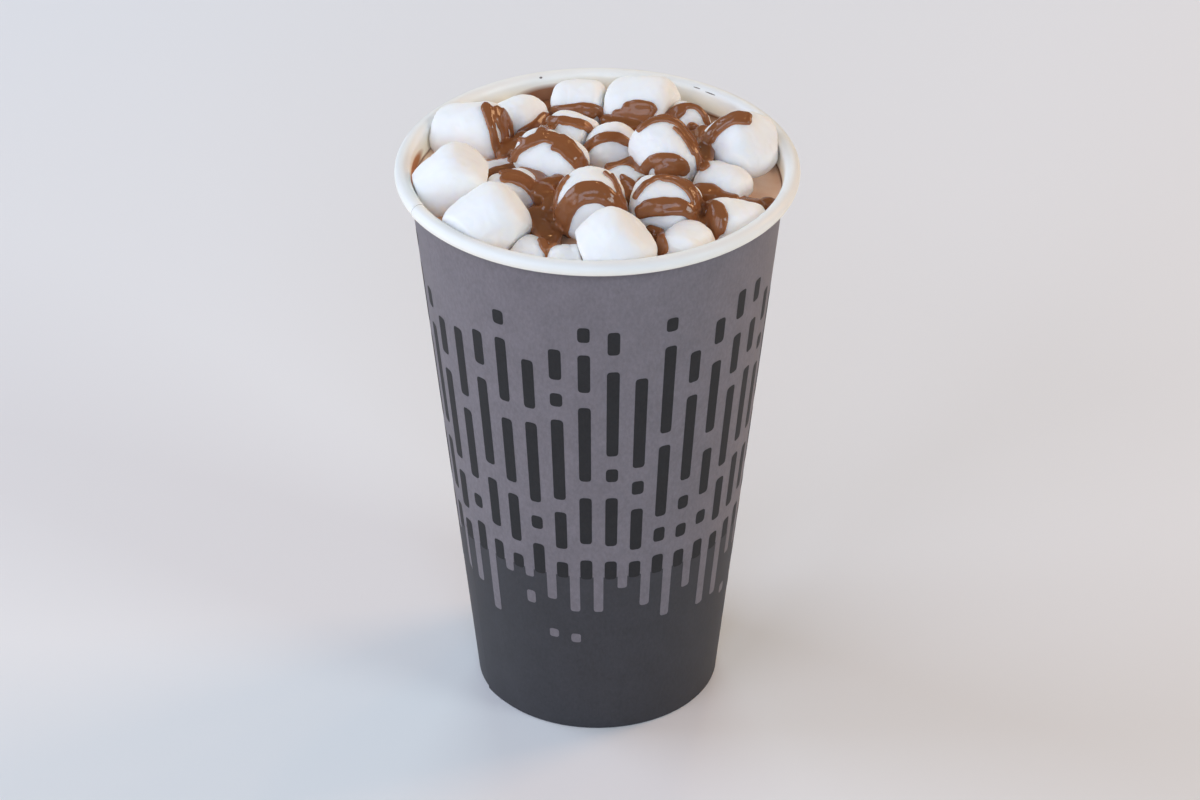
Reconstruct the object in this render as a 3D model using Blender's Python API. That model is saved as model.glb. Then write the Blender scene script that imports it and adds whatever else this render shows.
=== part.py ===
"""Hot chocolate in a tall paper cup, heaped with marshmallows and thick chocolate sauce.

Metres, +Z up. The origin is the centre of the cup's foot, on the surface that it stands on, and the
lap seam of the paper lies to the left of the front (-Y). The marshmallows' table is in millimetres
and degrees: a heading turns from +X towards +Y, and a pitch rises from level.
"""

import math
from collections import namedtuple

import bmesh
import bpy
from mathutils import Vector, noise

MM = 0.001
GAP = 0.3 * MM

# Cup: one paper blank rolled to a cone, its lip curled outwards, its foot folded in round the base
CUP_HEIGHT = 135.5 * MM
LIP_DIAMETER = 90.0 * MM
LIP_WIDTH = 3.5 * MM
LIP_DEPTH = 3.5 * MM
FOOT_DIAMETER = 56.2 * MM
PAPER = 0.45 * MM
CUP_SIDES = 48

# Lap seam down the wall: its outer edge stands up by less than one paper thickness
SEAM_ANGLE = math.radians(-154)
SEAM_WIDTH = 6.0 * MM
SEAM_STEP = 0.3 * MM
SEAM_EDGE = 0.25 * MM

# Base disc, raised inside the foot, with a skirt that the foot's hem holds
HEM_HEIGHT = 7.4 * MM
HEM_FLOOR = 0.6 * MM
BASE_HEIGHT = 8.0 * MM
SKIRT_FOOT = 0.9 * MM

# Drink and the pools of sauce that stand on it
DRINK_LEVEL = 129.0 * MM
DRINK_SIDES = 36
DRINK_RINGS = 6
POOL_DEPTH = 3.0 * MM

# Marshmallows: soft short cylinders, pressed flat where they meet. Sauce lies on them as low ropes
# that taper over the last of their width and are rooted in the marshmallow
MARSHMALLOW_SIDES = 12
MARSHMALLOW_RINGS = 7
CORNER_POWER = 3.2
UNEVENNESS = 0.05
SAUCE_DEPTH = 0.9 * MM
SAUCE_EDGE = 0.5 * MM
SAUCE_ROOT = 1.5 * MM
SAUCE_STEP = math.radians(36)
SAUCE_END = 0.85
SAUCE_END_WIDTH = 0.45
PRESSED_IN = 0.03 * MM
POCKET_CLEARANCE = 0.35 * MM
POCKET_HEIGHT = 20.0 * MM

lip_centre_height = CUP_HEIGHT - LIP_DEPTH / 2
lip_centre_radius = LIP_DIAMETER / 2 - LIP_WIDTH / 2
wall_top_radius = LIP_DIAMETER / 2 - LIP_WIDTH + PAPER
wall_slope = (wall_top_radius - FOOT_DIAMETER / 2) / lip_centre_height

Marshmallow = namedtuple("Marshmallow", "x y z heading pitch diameter length strokes")
Stroke = namedtuple("Stroke", "width course")
Pool = namedtuple("Pool", "width course")

# Each course of sauce is a run of (heading, pitch) points seen from its marshmallow's centre
BACK_LEFT = Marshmallow(-28.8, 18.3, 132.6, -20, 15, 13.8, 17.5, (Stroke(10.8, ((-20, 15), (-30, -35))),))
LEFT = Marshmallow(-32.4, -6.2, 133.0, -5, 45, 15.8, 17.4, ())
FRONT_LEFT = Marshmallow(-23.8, -23.5, 133.0, 10, 35, 16.4, 17.4, ())
BACK_GAP_LEFT = Marshmallow(
    -17.8, 26.5, 130.4, -30, 35, 12.5, 12.5, (Stroke(3.4, ((-105, 0), (-70, 15), (-20, 20))),)
)
BACK = Marshmallow(-4.0, 32.8, 131.2, -10, 5, 12.8, 12.4, (Stroke(3.0, ((-155, 5), (-100, 25), (-40, 15))),))
BACK_RIGHT = Marshmallow(
    10.2, 30.2, 132.2, -15, 10, 15.0, 16.8,
    (Stroke(4.2, ((-130, 20), (-95, 25), (-70, 25))), Stroke(2.4, ((-160, -5), (-95, 10), (-45, 10)))),
)
INNER_BACK = Marshmallow(
    -5.6, 17.5, 131.2, -30, -5, 12.4, 12.4,
    (Stroke(1.9, ((-175, -5), (-170, 25), (-125, 75), (-35, 65), (-30, 20))),),
)
INNER_LEFT = Marshmallow(
    -10.3, 3.6, 133.6, -30, -10, 13.2, 15.6,
    (
        Stroke(2.0, ((-155, -15), (-160, 10), (-160, 45), (-145, 75))),
        Stroke(3.6, ((-145, 75), (-40, 70), (-40, 40), (-25, -5))),
    ),
)
INNER = Marshmallow(
    2.9, 13.0, 131.4, -55, 35, 12.0, 12.0,
    (
        Stroke(2.0, ((-150, 20), (-145, 40), (-115, 60), (-60, 60), (-35, 25), (-35, 0))),
        Stroke(1.5, ((-95, -15), (-40, -10))),
    ),
)
INNER_RIGHT = Marshmallow(
    15.1, 4.5, 134.7, -60, -20, 13.8, 15.4,
    (
        Stroke(2.0, ((180, 10), (175, 45), (160, 65), (60, 75), (-15, 55), (-25, 25), (-20, -20))),
        Stroke(4.8, ((-115, 0), (-90, 20), (-65, 10))),
    ),
)
SMALL_BACK = Marshmallow(
    19.8, 25.6, 130.0, 45, 45, 10.2, 10.4,
    (
        Stroke(2.0, ((-170, 10), (-175, 50), (-155, 85), (20, 70), (-20, 40), (-20, 0))),
        Stroke(3.2, ((-85, 25), (-60, 0))),
    ),
)
RIGHT = Marshmallow(
    32.0, 9.7, 133.6, -40, 35, 15.4, 15.4,
    (Stroke(2.5, ((-170, -5), (-170, 15), (175, 40), (170, 70), (-35, 85), (-25, 70))),),
)
LOW_RIGHT = Marshmallow(
    27.8, -2.3, 129.9, -35, 0, 11.6, 12.0, (Stroke(3.0, ((-150, 10), (-110, 15), (-75, 0))),)
)
FRONT_RIGHT = Marshmallow(
    29.8, -18.0, 129.3, 20, -18, 12.4, 14.4,
    (Stroke(3.4, ((-175, 15), (-145, 55), (-115, 45), (-115, 20), (-130, 0))),),
)
LOW_FRONT_RIGHT = Marshmallow(19.1, -28.6, 129.5, 60, 0, 12.0, 12.0, (Stroke(3.4, ((175, 30), (-145, 5))),))
FRONT = Marshmallow(3.1, -33.0, 132.2, 10, 45, 16.8, 16.6, ())
MIDDLE_RIGHT = Marshmallow(
    14.8, -16.7, 133.3, -15, -5, 13.4, 15.2,
    (
        Stroke(3.8, ((-160, 0), (-125, 28), (-80, 33), (-45, 10))),
        Stroke(1.6, ((-165, 15), (-170, 60), (95, 85), (-10, 60), (-25, 15))),
    ),
)
MIDDLE = Marshmallow(
    -1.4, -17.2, 134.6, -90, 10, 15.2, 15.4,
    (
        Stroke(3.4, ((-140, -30), (-135, 5), (-130, 35), (-105, 55), (-65, 55), (-40, 35), (-25, -5))),
        Stroke(1.7, ((175, -10), (155, 25), (125, 50))),
    ),
)
SMALL_FRONT_LEFT = Marshmallow(
    -13.9, -30.4, 128.4, -45, 0, 9.8, 10.2, (Stroke(2.8, ((-10, 65), (-45, 35))),)
)
SMALL_FRONT = Marshmallow(-6.2, -34.2, 128.8, 0, 0, 10.0, 9.6, ())
LOW_LEFT = Marshmallow(
    -19.2, -6.7, 130.1, 30, 0, 12.0, 13.0, (Stroke(2.4, ((-165, 20), (175, 65), (-50, 80), (-40, 30))),)
)
SUNK_LEFT = Marshmallow(
    -21.3, 5.0, 127.1, 20, 0, 11.0, 13.0, (Stroke(3.6, ((-140, 50), (-105, 75), (-25, 55))),)
)
SUNK_MIDDLE = Marshmallow(-9.0, -10.6, 126.6, 60, 0, 9.6, 10.0, (Stroke(2.4, ((-115, 55), (-110, 20))),))
LOW_MIDDLE = Marshmallow(
    6.6, -2.0, 128.9, -50, 0, 11.0, 12.0,
    (
        Stroke(2.2, ((175, 20), (-175, 40), (-120, 30), (-95, 0))),
        Stroke(2.2, ((-30, 80), (-110, 50), (-80, 20))),
    ),
)

MARSHMALLOWS = (
    BACK_LEFT, LEFT, FRONT_LEFT, BACK_GAP_LEFT, BACK, BACK_RIGHT, INNER_BACK, INNER_LEFT, INNER,
    INNER_RIGHT, SMALL_BACK, RIGHT, LOW_RIGHT, FRONT_RIGHT, LOW_FRONT_RIGHT, FRONT, MIDDLE_RIGHT,
    MIDDLE, SMALL_FRONT_LEFT, SMALL_FRONT, LOW_LEFT, SUNK_LEFT, SUNK_MIDDLE, LOW_MIDDLE,
)

# Pools of sauce between them, as runs of x, y
POOLS = (
    Pool(9.0, ((-20, 23), (-17, 16), (-20, 10))),
    Pool(8.0, ((-12, 3), (-11, -5), (-13, -14), (-10, -25))),
    Pool(9.0, ((0, 33), (7, 28), (19, 29), (24, 20), (24, 7))),
    Pool(6.0, ((22, -4), (29, -7), (36, -10))),
    Pool(7.0, ((6, -5), (9, 1))),
    Pool(5.0, ((9, -18), (14, -29))),
)


def clear_scene():
    for old in list(bpy.data.objects):
        bpy.data.objects.remove(old, do_unlink=True)


def make_material(name, colour, roughness):
    material = bpy.data.materials.new(name)
    material.use_nodes = True
    shader = material.node_tree.nodes["Principled BSDF"]
    shader.inputs["Base Color"].default_value = (*colour, 1.0)
    shader.inputs["Roughness"].default_value = roughness
    return material


def add_object(name, mesh, material, sharp_angle):
    mesh.materials.append(material)
    mesh.shade_smooth()
    mesh.set_sharp_from_angle(angle=math.radians(sharp_angle))
    made = bpy.data.objects.new(name, mesh)
    bpy.context.scene.collection.objects.link(made)
    return made


def mesh_from_bmesh(name, bm):
    bmesh.ops.recalc_face_normals(bm, faces=bm.faces)
    mesh = bpy.data.meshes.new(name)
    bm.to_mesh(mesh)
    bm.free()
    return mesh


def outer_radius(height):
    """Outer face of the wall, a straight cone."""
    return FOOT_DIAMETER / 2 + wall_slope * height


def inner_radius(height):
    return outer_radius(height) - PAPER


def seam_rise(angle):
    """How far the lap lifts the outer face here: a step at its edge, easing away over the lap."""
    lap = SEAM_WIDTH / (LIP_DIAMETER / 2)
    past = (angle - SEAM_ANGLE) % (2 * math.pi)
    return SEAM_STEP * (1 - past / (2 * lap)) if past < 2 * lap else 0.0


def cup_angles():
    """Even steps round the cup, with two extra close together at the edge of the lap."""
    angles = [SEAM_ANGLE + 2 * math.pi * i / CUP_SIDES for i in range(CUP_SIDES)]
    angles.append(SEAM_ANGLE - SEAM_EDGE / (LIP_DIAMETER / 2))
    return angles


def lip_section(points):
    """The curled lip, from the wall's inner face over the top to its outer face: radius, height."""
    first = math.radians(180)
    last = math.radians(-150)
    turned = [first + (last - first) * i / (points - 1) for i in range(points)]
    return [
        (
            lip_centre_radius + LIP_WIDTH / 2 * math.cos(turn),
            lip_centre_height + LIP_DEPTH / 2 * math.sin(turn),
        )
        for turn in turned
    ]


def join_rings(bm, rings, closed):
    pairs = list(zip(rings, rings[1:]))
    if closed:
        pairs.append((rings[-1], rings[0]))
    for lower, upper in pairs:
        for i in range(len(lower)):
            after = (i + 1) % len(lower)
            bm.faces.new((lower[i], lower[after], upper[after], upper[i]))


def make_cup_wall():
    """The wall, lip and folded hem as one closed section turned round the axis."""
    skirt_slot = PAPER + 2 * GAP
    hem_outer = PAPER + skirt_slot
    hem_inner = hem_outer + PAPER
    fold = 0.25 * MM
    section = [(outer_radius(0) - fold, 0.0, 0.0), (outer_radius(fold), fold, 1.0)]
    lip = lip_section(9)
    section += [(outer_radius(lip[-1][1]), lip[-1][1] - fold, 1.0)]
    section += [(radius, height, 0.5) for radius, height in reversed(lip)]
    section += [
        (inner_radius(HEM_FLOOR), HEM_FLOOR, 0.0),
        (outer_radius(HEM_FLOOR) - hem_outer, HEM_FLOOR, 0.0),
        (outer_radius(HEM_HEIGHT) - hem_outer, HEM_HEIGHT, 0.0),
        (outer_radius(HEM_HEIGHT) - hem_inner, HEM_HEIGHT, 0.0),
        (outer_radius(0) - hem_inner, fold, 0.0),
        (outer_radius(0) - hem_inner + fold, 0.0, 0.0),
    ]
    bm = bmesh.new()
    rings = []
    for radius, height, rise_share in section:
        ring = []
        for angle in sorted(a % (2 * math.pi) for a in cup_angles()):
            reach = radius + rise_share * seam_rise(angle)
            ring.append(bm.verts.new((reach * math.cos(angle), reach * math.sin(angle), height)))
        rings.append(ring)
    join_rings(bm, rings, closed=True)
    paper = make_material("printed_paper", (0.20, 0.18, 0.20), 0.75)
    return add_object("cup_wall", mesh_from_bmesh("cup_wall", bm), paper, 35)


def make_cup_base():
    """The raised disc with its skirt turned down between the wall and the hem."""
    sides = CUP_SIDES
    top = BASE_HEIGHT + PAPER
    section = [
        (None, top),
        (outer_radius(top) - PAPER - GAP - PAPER / 2, top),
        (outer_radius(BASE_HEIGHT) - PAPER - GAP, BASE_HEIGHT + PAPER / 4),
        (outer_radius(SKIRT_FOOT) - PAPER - GAP, SKIRT_FOOT),
        (outer_radius(SKIRT_FOOT) - 2 * PAPER - GAP, SKIRT_FOOT),
        (outer_radius(BASE_HEIGHT) - 2 * PAPER - GAP, BASE_HEIGHT),
        (None, BASE_HEIGHT),
    ]
    bm = bmesh.new()
    poles = {height: bm.verts.new((0, 0, height)) for radius, height in section if radius is None}
    rings = []
    for radius, height in section[1:-1]:
        turns = [2 * math.pi * i / sides for i in range(sides)]
        rings.append([bm.verts.new((radius * math.cos(t), radius * math.sin(t), height)) for t in turns])
    join_rings(bm, rings, closed=False)
    for i in range(sides):
        after = (i + 1) % sides
        bm.faces.new((rings[0][i], rings[0][after], poles[top]))
        bm.faces.new((rings[-1][i], rings[-1][after], poles[BASE_HEIGHT]))
    paper = make_material("plain_paper", (0.80, 0.80, 0.78), 0.7)
    return add_object("cup_base", mesh_from_bmesh("cup_base", bm), paper, 35)


def direction(heading, pitch):
    turn = math.radians(heading)
    rise = math.radians(pitch)
    return Vector((math.cos(rise) * math.cos(turn), math.cos(rise) * math.sin(turn), math.sin(rise)))


def marshmallow_reach(sweet, ray):
    """Distance from a marshmallow's centre to its skin: a cylinder with full soft corners."""
    axis = direction(sweet.heading, sweet.pitch)
    along = abs(ray.dot(axis)) / (sweet.length / 2)
    across = math.sqrt(max(0.0, 1 - ray.dot(axis) ** 2)) / (sweet.diameter / 2)
    reach = (along**CORNER_POWER + across**CORNER_POWER) ** (-1 / CORNER_POWER)
    place = Vector((sweet.x, sweet.y, sweet.z))
    return reach * (1 + UNEVENNESS * noise.noise(ray * 1.6 + place)) * MM


def marshmallow_rays(sweet, sides, rings):
    """Directions to the rings of one marshmallow's mesh, from pole to pole of its own axis."""
    axis = direction(sweet.heading, sweet.pitch)
    across = axis.cross(Vector((0, 0, 1))).normalized()
    upright = across.cross(axis)
    ratio = sweet.diameter / sweet.length
    rows = []
    for ring in range(1, rings + 1):
        lean = math.pi * ring / (rings + 1)
        lean = math.atan2(ratio * math.sin(lean), math.cos(lean))
        row = []
        for side in range(sides):
            turn = 2 * math.pi * (side + ring % 2 / 2) / sides
            level = across * math.cos(turn) + upright * math.sin(turn)
            row.append(axis * math.cos(lean) + level * math.sin(lean))
        rows.append(row)
    return axis, rows


def mesh_from_rays(bm, axis, rows, place_of):
    first = bm.verts.new(place_of(axis))
    last = bm.verts.new(place_of(-axis))
    rings = [[bm.verts.new(place_of(ray)) for ray in row] for row in rows]
    sides = len(rings[0])
    for row, (lower, upper) in enumerate(zip(rings, rings[1:])):
        shift = row % 2
        for i in range(sides):
            after = (i + 1) % sides
            if shift == 0:
                bm.faces.new((lower[i], upper[i], lower[after]))
                bm.faces.new((lower[after], upper[i], upper[after]))
            else:
                bm.faces.new((lower[i], upper[i], upper[after]))
                bm.faces.new((lower[i], upper[after], lower[after]))
    for i in range(sides):
        after = (i + 1) % sides
        bm.faces.new((first, rings[0][i], rings[0][after]))
        bm.faces.new((last, rings[-1][after], rings[-1][i]))


def centre_of(sweet):
    return Vector((sweet.x, sweet.y, sweet.z)) * MM


def farthest(sweet, way):
    """How far the marshmallow's bare skin reaches along a direction from its centre."""
    axis, rows = marshmallow_rays(sweet, 12, 7)
    rays = [axis, -axis] + [ray for row in rows for ray in row]
    return max(marshmallow_reach(sweet, ray) * ray.dot(way) for ray in rays)


def contact_planes(sweet):
    """(normal, distance) of each flat where a neighbour presses this marshmallow."""
    planes = []
    for other in MARSHMALLOWS:
        if other is sweet:
            continue
        apart = centre_of(other) - centre_of(sweet)
        if apart.length > (sweet.diameter + sweet.length + other.diameter + other.length) / 2 * MM:
            continue
        way = apart.normalized()
        mine = farthest(sweet, way)
        theirs = farthest(other, -way)
        planes.append((way, apart.length * mine / (mine + theirs) - GAP / 2))
    return planes


def held_reach(sweet, planes, ray, reach, inset):
    """The reach along a ray, drawn in where a neighbour or the cup's wall is in the way."""
    for way, limit in planes:
        facing = ray.dot(way)
        if facing * reach > limit - inset:
            reach = (limit - inset) / facing
    centre = centre_of(sweet)
    side = math.cos(math.pi / CUP_SIDES)
    for _ in range(12):
        point = centre + ray * reach
        room = inner_radius(point.z) * side - GAP - inset - math.hypot(point.x, point.y)
        if room >= 0:
            break
        reach += room
    return reach


def bare_marshmallow(sweet, planes):
    def place_of(ray):
        return centre_of(sweet) + ray * held_reach(sweet, planes, ray, marshmallow_reach(sweet, ray), 0.0)

    axis, rows = marshmallow_rays(sweet, MARSHMALLOW_SIDES, MARSHMALLOW_RINGS)
    bm = bmesh.new()
    mesh_from_rays(bm, axis, rows, place_of)
    return mesh_from_bmesh("bare", bm)


def course_rays(stroke, sweet):
    """(ray, way along, share of the width) down one course of sauce, with rounded ends."""
    points = [direction(*point) for point in stroke.course]
    rays = [points[0]]
    for start, end in zip(points, points[1:]):
        steps = max(1, round(start.angle(end) / SAUCE_STEP))
        rays += [start.slerp(end, step / steps) for step in range(1, steps + 1)]
    ways = []
    for i in range(len(rays)):
        chord = rays[min(i + 1, len(rays) - 1)] - rays[max(i - 1, 0)]
        ways.append((chord - rays[i] * chord.dot(rays[i])).normalized())
    half = stroke.width / sweet.diameter
    first = (rays[0] - ways[0] * half * SAUCE_END).normalized()
    last = (rays[-1] + ways[-1] * half * SAUCE_END).normalized()
    full = [(ray, way, 1.0) for ray, way in zip(rays, ways)]
    return [(first, ways[0], SAUCE_END_WIDTH), *full, (last, ways[-1], SAUCE_END_WIDTH)]


def sauce_mesh(sweet, planes, stroke):
    """One course of sauce: a low rounded rope whose root is sunk in the marshmallow."""
    section = ((-0.5, -SAUCE_EDGE), (-0.33, SAUCE_DEPTH * 0.8), (0.0, SAUCE_DEPTH))
    section += ((0.33, SAUCE_DEPTH * 0.8), (0.5, -SAUCE_EDGE), (0.0, -SAUCE_ROOT))
    half = stroke.width / sweet.diameter
    bm = bmesh.new()
    rings = []
    for ray, way, share in course_rays(stroke, sweet):
        across = ray.cross(way)
        ring = []
        for offset, lift in section:
            aim = (ray + across * (2 * half * offset * share)).normalized()
            bare = marshmallow_reach(sweet, aim)
            skin = held_reach(sweet, planes, aim, bare, 0.0)
            room = held_reach(sweet, planes, aim, bare + SAUCE_DEPTH, PRESSED_IN)
            reach = min(room, skin + lift * share if lift > 0 else skin + lift)
            ring.append(bm.verts.new(centre_of(sweet) + aim * reach))
        rings.append(ring)
    join_rings(bm, rings, closed=False)
    bm.faces.new(rings[0])
    bm.faces.new(rings[-1])
    bmesh.ops.triangulate(bm, faces=bm.faces)
    return mesh_from_bmesh("course", bm)


def boolean_with(target, meshes, operation, solver):
    """Applies one Boolean of the target with several meshes, then clears them away."""
    tools = bpy.data.collections.new("tools")
    bpy.context.scene.collection.children.link(tools)
    for mesh in meshes:
        tools.objects.link(bpy.data.objects.new("tool", mesh))
    change = target.modifiers.new("change", "BOOLEAN")
    change.operand_type = "COLLECTION"
    change.collection = tools
    change.operation = operation
    change.solver = solver
    drawn = target.evaluated_get(bpy.context.evaluated_depsgraph_get())
    before = target.data
    target.data = bpy.data.meshes.new_from_object(drawn)
    target.modifiers.clear()
    bpy.data.meshes.remove(before)
    for tool in list(tools.objects):
        bpy.data.objects.remove(tool, do_unlink=True)
    bpy.data.collections.remove(tools)


def keep_outer_skin(mesh):
    """Drops what fusing left apart from the outer skin: sealed hollows and loose scraps."""
    bm = bmesh.new()
    bm.from_mesh(mesh)
    islands = []
    waiting = set(bm.verts)
    while waiting:
        island = []
        edge_of_search = [waiting.pop()]
        while edge_of_search:
            vertex = edge_of_search.pop()
            island.append(vertex)
            found = {edge.other_vert(vertex) for edge in vertex.link_edges} & waiting
            waiting -= found
            edge_of_search += found
        islands.append(island)
    outer = max(islands, key=len)
    spare = [vertex for island in islands if island is not outer for vertex in island]
    bmesh.ops.delete(bm, geom=spare, context="VERTS")
    bm.to_mesh(mesh)
    bm.free()


def make_marshmallows():
    made = []
    for number, sweet in enumerate(MARSHMALLOWS, start=1):
        planes = contact_planes(sweet)
        name = f"marshmallow_{number:02d}"
        sugar = make_material(name, (0.86, 0.85, 0.82), 0.6)
        piece = add_object(name, bare_marshmallow(sweet, planes), sugar, 40)
        if sweet.strokes:
            courses = [sauce_mesh(sweet, planes, stroke) for stroke in sweet.strokes]
            boolean_with(piece, courses, "UNION", "MANIFOLD")
            keep_outer_skin(piece.data)
        made.append(piece)
    return made


def pool_height(x, y):
    """Height of the sauce that stands on the drink at one place."""
    height = 0.0
    for pool in POOLS:
        course = [Vector(point) * MM for point in pool.course]
        here = Vector((x, y))
        for start, end in zip(course, course[1:]):
            run = end - start
            share = min(1.0, max(0.0, (here - start).dot(run) / run.length_squared))
            near = (here - start - run * share).length / (pool.width * MM / 2)
            if near < 1:
                height = max(height, POOL_DEPTH * math.sqrt(1 - near * near))
    return height


def pocket_mesh(sweet, piece):
    """The space a marshmallow needs in the drink: its form with some clearance, open upwards."""
    centre = centre_of(sweet)
    bm = bmesh.new()
    for vertex in piece.data.vertices:
        out = vertex.co - centre
        point = vertex.co + out.normalized() * POCKET_CLEARANCE
        bm.verts.new(point)
        bm.verts.new(point + Vector((0, 0, POCKET_HEIGHT)))
    hull = bmesh.ops.convex_hull(bm, input=bm.verts)
    inside = set(hull["geom_interior"] + hull["geom_unused"])
    spare = [item for item in inside if isinstance(item, bmesh.types.BMVert)]
    bmesh.ops.delete(bm, geom=spare, context="VERTS")
    return mesh_from_bmesh("pocket", bm)


def make_drink(pieces):
    """The drink up to its level, with a pocket for each marshmallow."""
    foot = BASE_HEIGHT + PAPER + GAP
    side = math.cos(math.pi / CUP_SIDES)
    foot_reach = inner_radius(foot) * side - GAP
    top_reach = inner_radius(DRINK_LEVEL) * side - GAP
    turns = [2 * math.pi * i / DRINK_SIDES for i in range(DRINK_SIDES)]
    bm = bmesh.new()
    rings = [[bm.verts.new((foot_reach * math.cos(t), foot_reach * math.sin(t), foot)) for t in turns]]
    for ring in range(DRINK_RINGS, 0, -1):
        reach = top_reach * ring / DRINK_RINGS
        row = []
        for t in turns:
            x = reach * math.cos(t)
            y = reach * math.sin(t)
            rise = pool_height(x, y) if ring < DRINK_RINGS else 0.0
            row.append(bm.verts.new((x, y, DRINK_LEVEL + rise)))
        rings.append(row)
    join_rings(bm, rings, closed=False)
    bm.faces.new(rings[0])
    middle = bm.verts.new((0, 0, DRINK_LEVEL + pool_height(0, 0)))
    for i in range(DRINK_SIDES):
        bm.faces.new((rings[-1][i], rings[-1][(i + 1) % DRINK_SIDES], middle))
    cocoa = make_material("cocoa", (0.25, 0.11, 0.06), 0.3)
    drink = add_object("hot_chocolate", mesh_from_bmesh("hot_chocolate", bm), cocoa, 40)
    pockets = [pocket_mesh(sweet, piece) for sweet, piece in zip(MARSHMALLOWS, pieces)]
    boolean_with(drink, pockets, "DIFFERENCE", "EXACT")


clear_scene()
make_cup_wall()
make_cup_base()
make_drink(make_marshmallows())
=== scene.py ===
"""Hot chocolate in a tall paper cup, heaped with marshmallows and chocolate sauce, dressed over its
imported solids. Metres, +Z up, the centre of the cup's foot at the origin. The tables of the toppings
are in millimetres and degrees: a heading turns from +X towards +Y, and a pitch rises from level.
"""

import math
import random
from collections import namedtuple

import bmesh
import bpy
from mathutils import Matrix, Vector, noise
from mathutils.bvhtree import BVHTree


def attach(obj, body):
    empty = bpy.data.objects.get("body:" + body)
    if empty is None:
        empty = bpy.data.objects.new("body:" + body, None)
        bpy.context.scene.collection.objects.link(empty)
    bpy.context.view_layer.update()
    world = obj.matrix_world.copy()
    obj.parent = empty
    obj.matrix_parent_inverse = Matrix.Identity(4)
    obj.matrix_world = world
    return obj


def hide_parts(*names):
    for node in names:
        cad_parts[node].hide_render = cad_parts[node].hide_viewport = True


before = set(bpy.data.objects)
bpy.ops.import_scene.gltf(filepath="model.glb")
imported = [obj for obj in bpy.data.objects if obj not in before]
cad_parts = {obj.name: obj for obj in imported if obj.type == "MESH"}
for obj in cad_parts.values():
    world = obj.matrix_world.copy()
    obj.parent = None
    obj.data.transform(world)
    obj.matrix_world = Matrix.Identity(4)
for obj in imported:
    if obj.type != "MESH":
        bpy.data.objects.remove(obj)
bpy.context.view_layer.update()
MM = 0.001

# The camera stands a metre off and looks down steeply enough to see all the toppings, through a long
# lens that hardly narrows the cup.
CAMERA_TILT = math.radians(32.65)
CAMERA_RANGE = 1.00844
CAMERA_TARGET = Vector((0.00058, 0.0, 0.0728))
LENS_LENGTH = 132.0
SENSOR_WIDTH = 36.0

lens = bpy.data.cameras.new("long_lens")
lens.lens = LENS_LENGTH
lens.sensor_width = SENSOR_WIDTH
camera = bpy.data.objects.new("camera", lens)
bpy.context.scene.collection.objects.link(camera)
bpy.context.scene.camera = camera
camera_back = Vector((0, -math.cos(CAMERA_TILT), math.sin(CAMERA_TILT)))
camera_up = Vector((0, math.sin(CAMERA_TILT), math.cos(CAMERA_TILT)))
turned = Matrix((Vector((1, 0, 0)), camera_up, camera_back)).transposed().to_4x4()
camera.matrix_world = Matrix.Translation(CAMERA_TARGET + camera_back * CAMERA_RANGE) @ turned
bpy.context.scene.view_settings.view_transform = "Standard"


# Soft daylight in a pale room: cool light from the left and the front, a smaller warm window to the
# right, what the white walls throw back, and two small warm lamps that glint in the sauce.
def linear(hex_colour):
    """An sRGB hex colour as linear red, green, blue and a full alpha."""
    parts = [int(hex_colour[i : i + 2], 16) / 255 for i in (1, 3, 5)]
    return (*(p / 12.92 if p <= 0.04045 else ((p + 0.055) / 1.055) ** 2.4 for p in parts), 1.0)


def add_window(name, place, aim, width, height, colour, watts):
    """An even patch of light, this wide and high, that faces a point."""
    light = bpy.data.lights.new(name, "AREA")
    light.shape = "RECTANGLE"
    light.size = width
    light.size_y = height
    light.color = linear(colour)[:3]
    light.energy = watts
    lamp = bpy.data.objects.new(name, light)
    bpy.context.scene.collection.objects.link(lamp)
    towards = Vector(aim) - Vector(place)
    lamp.matrix_world = Matrix.Translation(place) @ towards.to_track_quat("-Z", "Y").to_matrix().to_4x4()
    return lamp


world = bpy.data.worlds.new("pale_room")
bpy.context.scene.world = world
world.use_nodes = True
world.node_tree.nodes["Background"].inputs["Color"].default_value = linear("#FFE6D0")
world.node_tree.nodes["Background"].inputs["Strength"].default_value = 0.148
heart = (0, 0, 0.1)
add_window("left_window", (-1.3, 0.35, 0.95), heart, 1.0, 1.0, "#D8E9FF", 12.1)
add_window("front_left_sky", (-1.0, -1.0, 0.9), heart, 0.9, 0.9, "#E9EFFF", 7.2)
add_window("front_sky", (0, -1.5, 0.9), heart, 0.9, 0.9, "#CBE3FF", 9.3)
add_window("front_right_wall", (1.2, -0.7, 0.8), heart, 0.5, 0.5, "#EBFCFF", 5.8)
add_window("right_window", (1.2, 0.55, 0.85), heart, 0.5, 0.5, "#FFCD9C", 7.2)
back_wall = add_window("back_wall", (0, 1.5, 0.8), heart, 0.8, 0.6, "#E3FCFF", 8.2)
back_wall.visible_glossy = False
add_window("low_left_wall", (-1.5, -0.3, 0.35), heart, 0.8, 0.5, "#F7FFFF", 4.0)
add_window("lamp_above", (0.35, 0.75, 1.75), heart, 0.09, 0.09, "#FFC98A", 0.9)
add_window("lamp_right", (0.9, 0.9, 1.0), heart, 0.06, 0.06, "#FFC98A", 0.45)


# The table top, a board faced with pale matt laminate. It runs out of sight on every side. It is
# painted a little warmer in front than at the back, a painted tint of the light that falls there. Here and
# below, a pattern's size is a millimetre over how many of its cells fit in one.
FLOOR_REACH = 4.0
CLOUD_SIZE = MM / 0.003


def set_inputs(tree, node, inputs):
    """Gives each named input of a node a value or a link. A node stands for its first live output."""
    for name, value in inputs.items():
        if isinstance(value, bpy.types.Node):
            value = next(output for output in value.outputs if output.enabled)
        if isinstance(value, bpy.types.NodeSocket):
            tree.links.new(value, node.inputs[name])
        else:
            node.inputs[name].default_value = value


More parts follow.
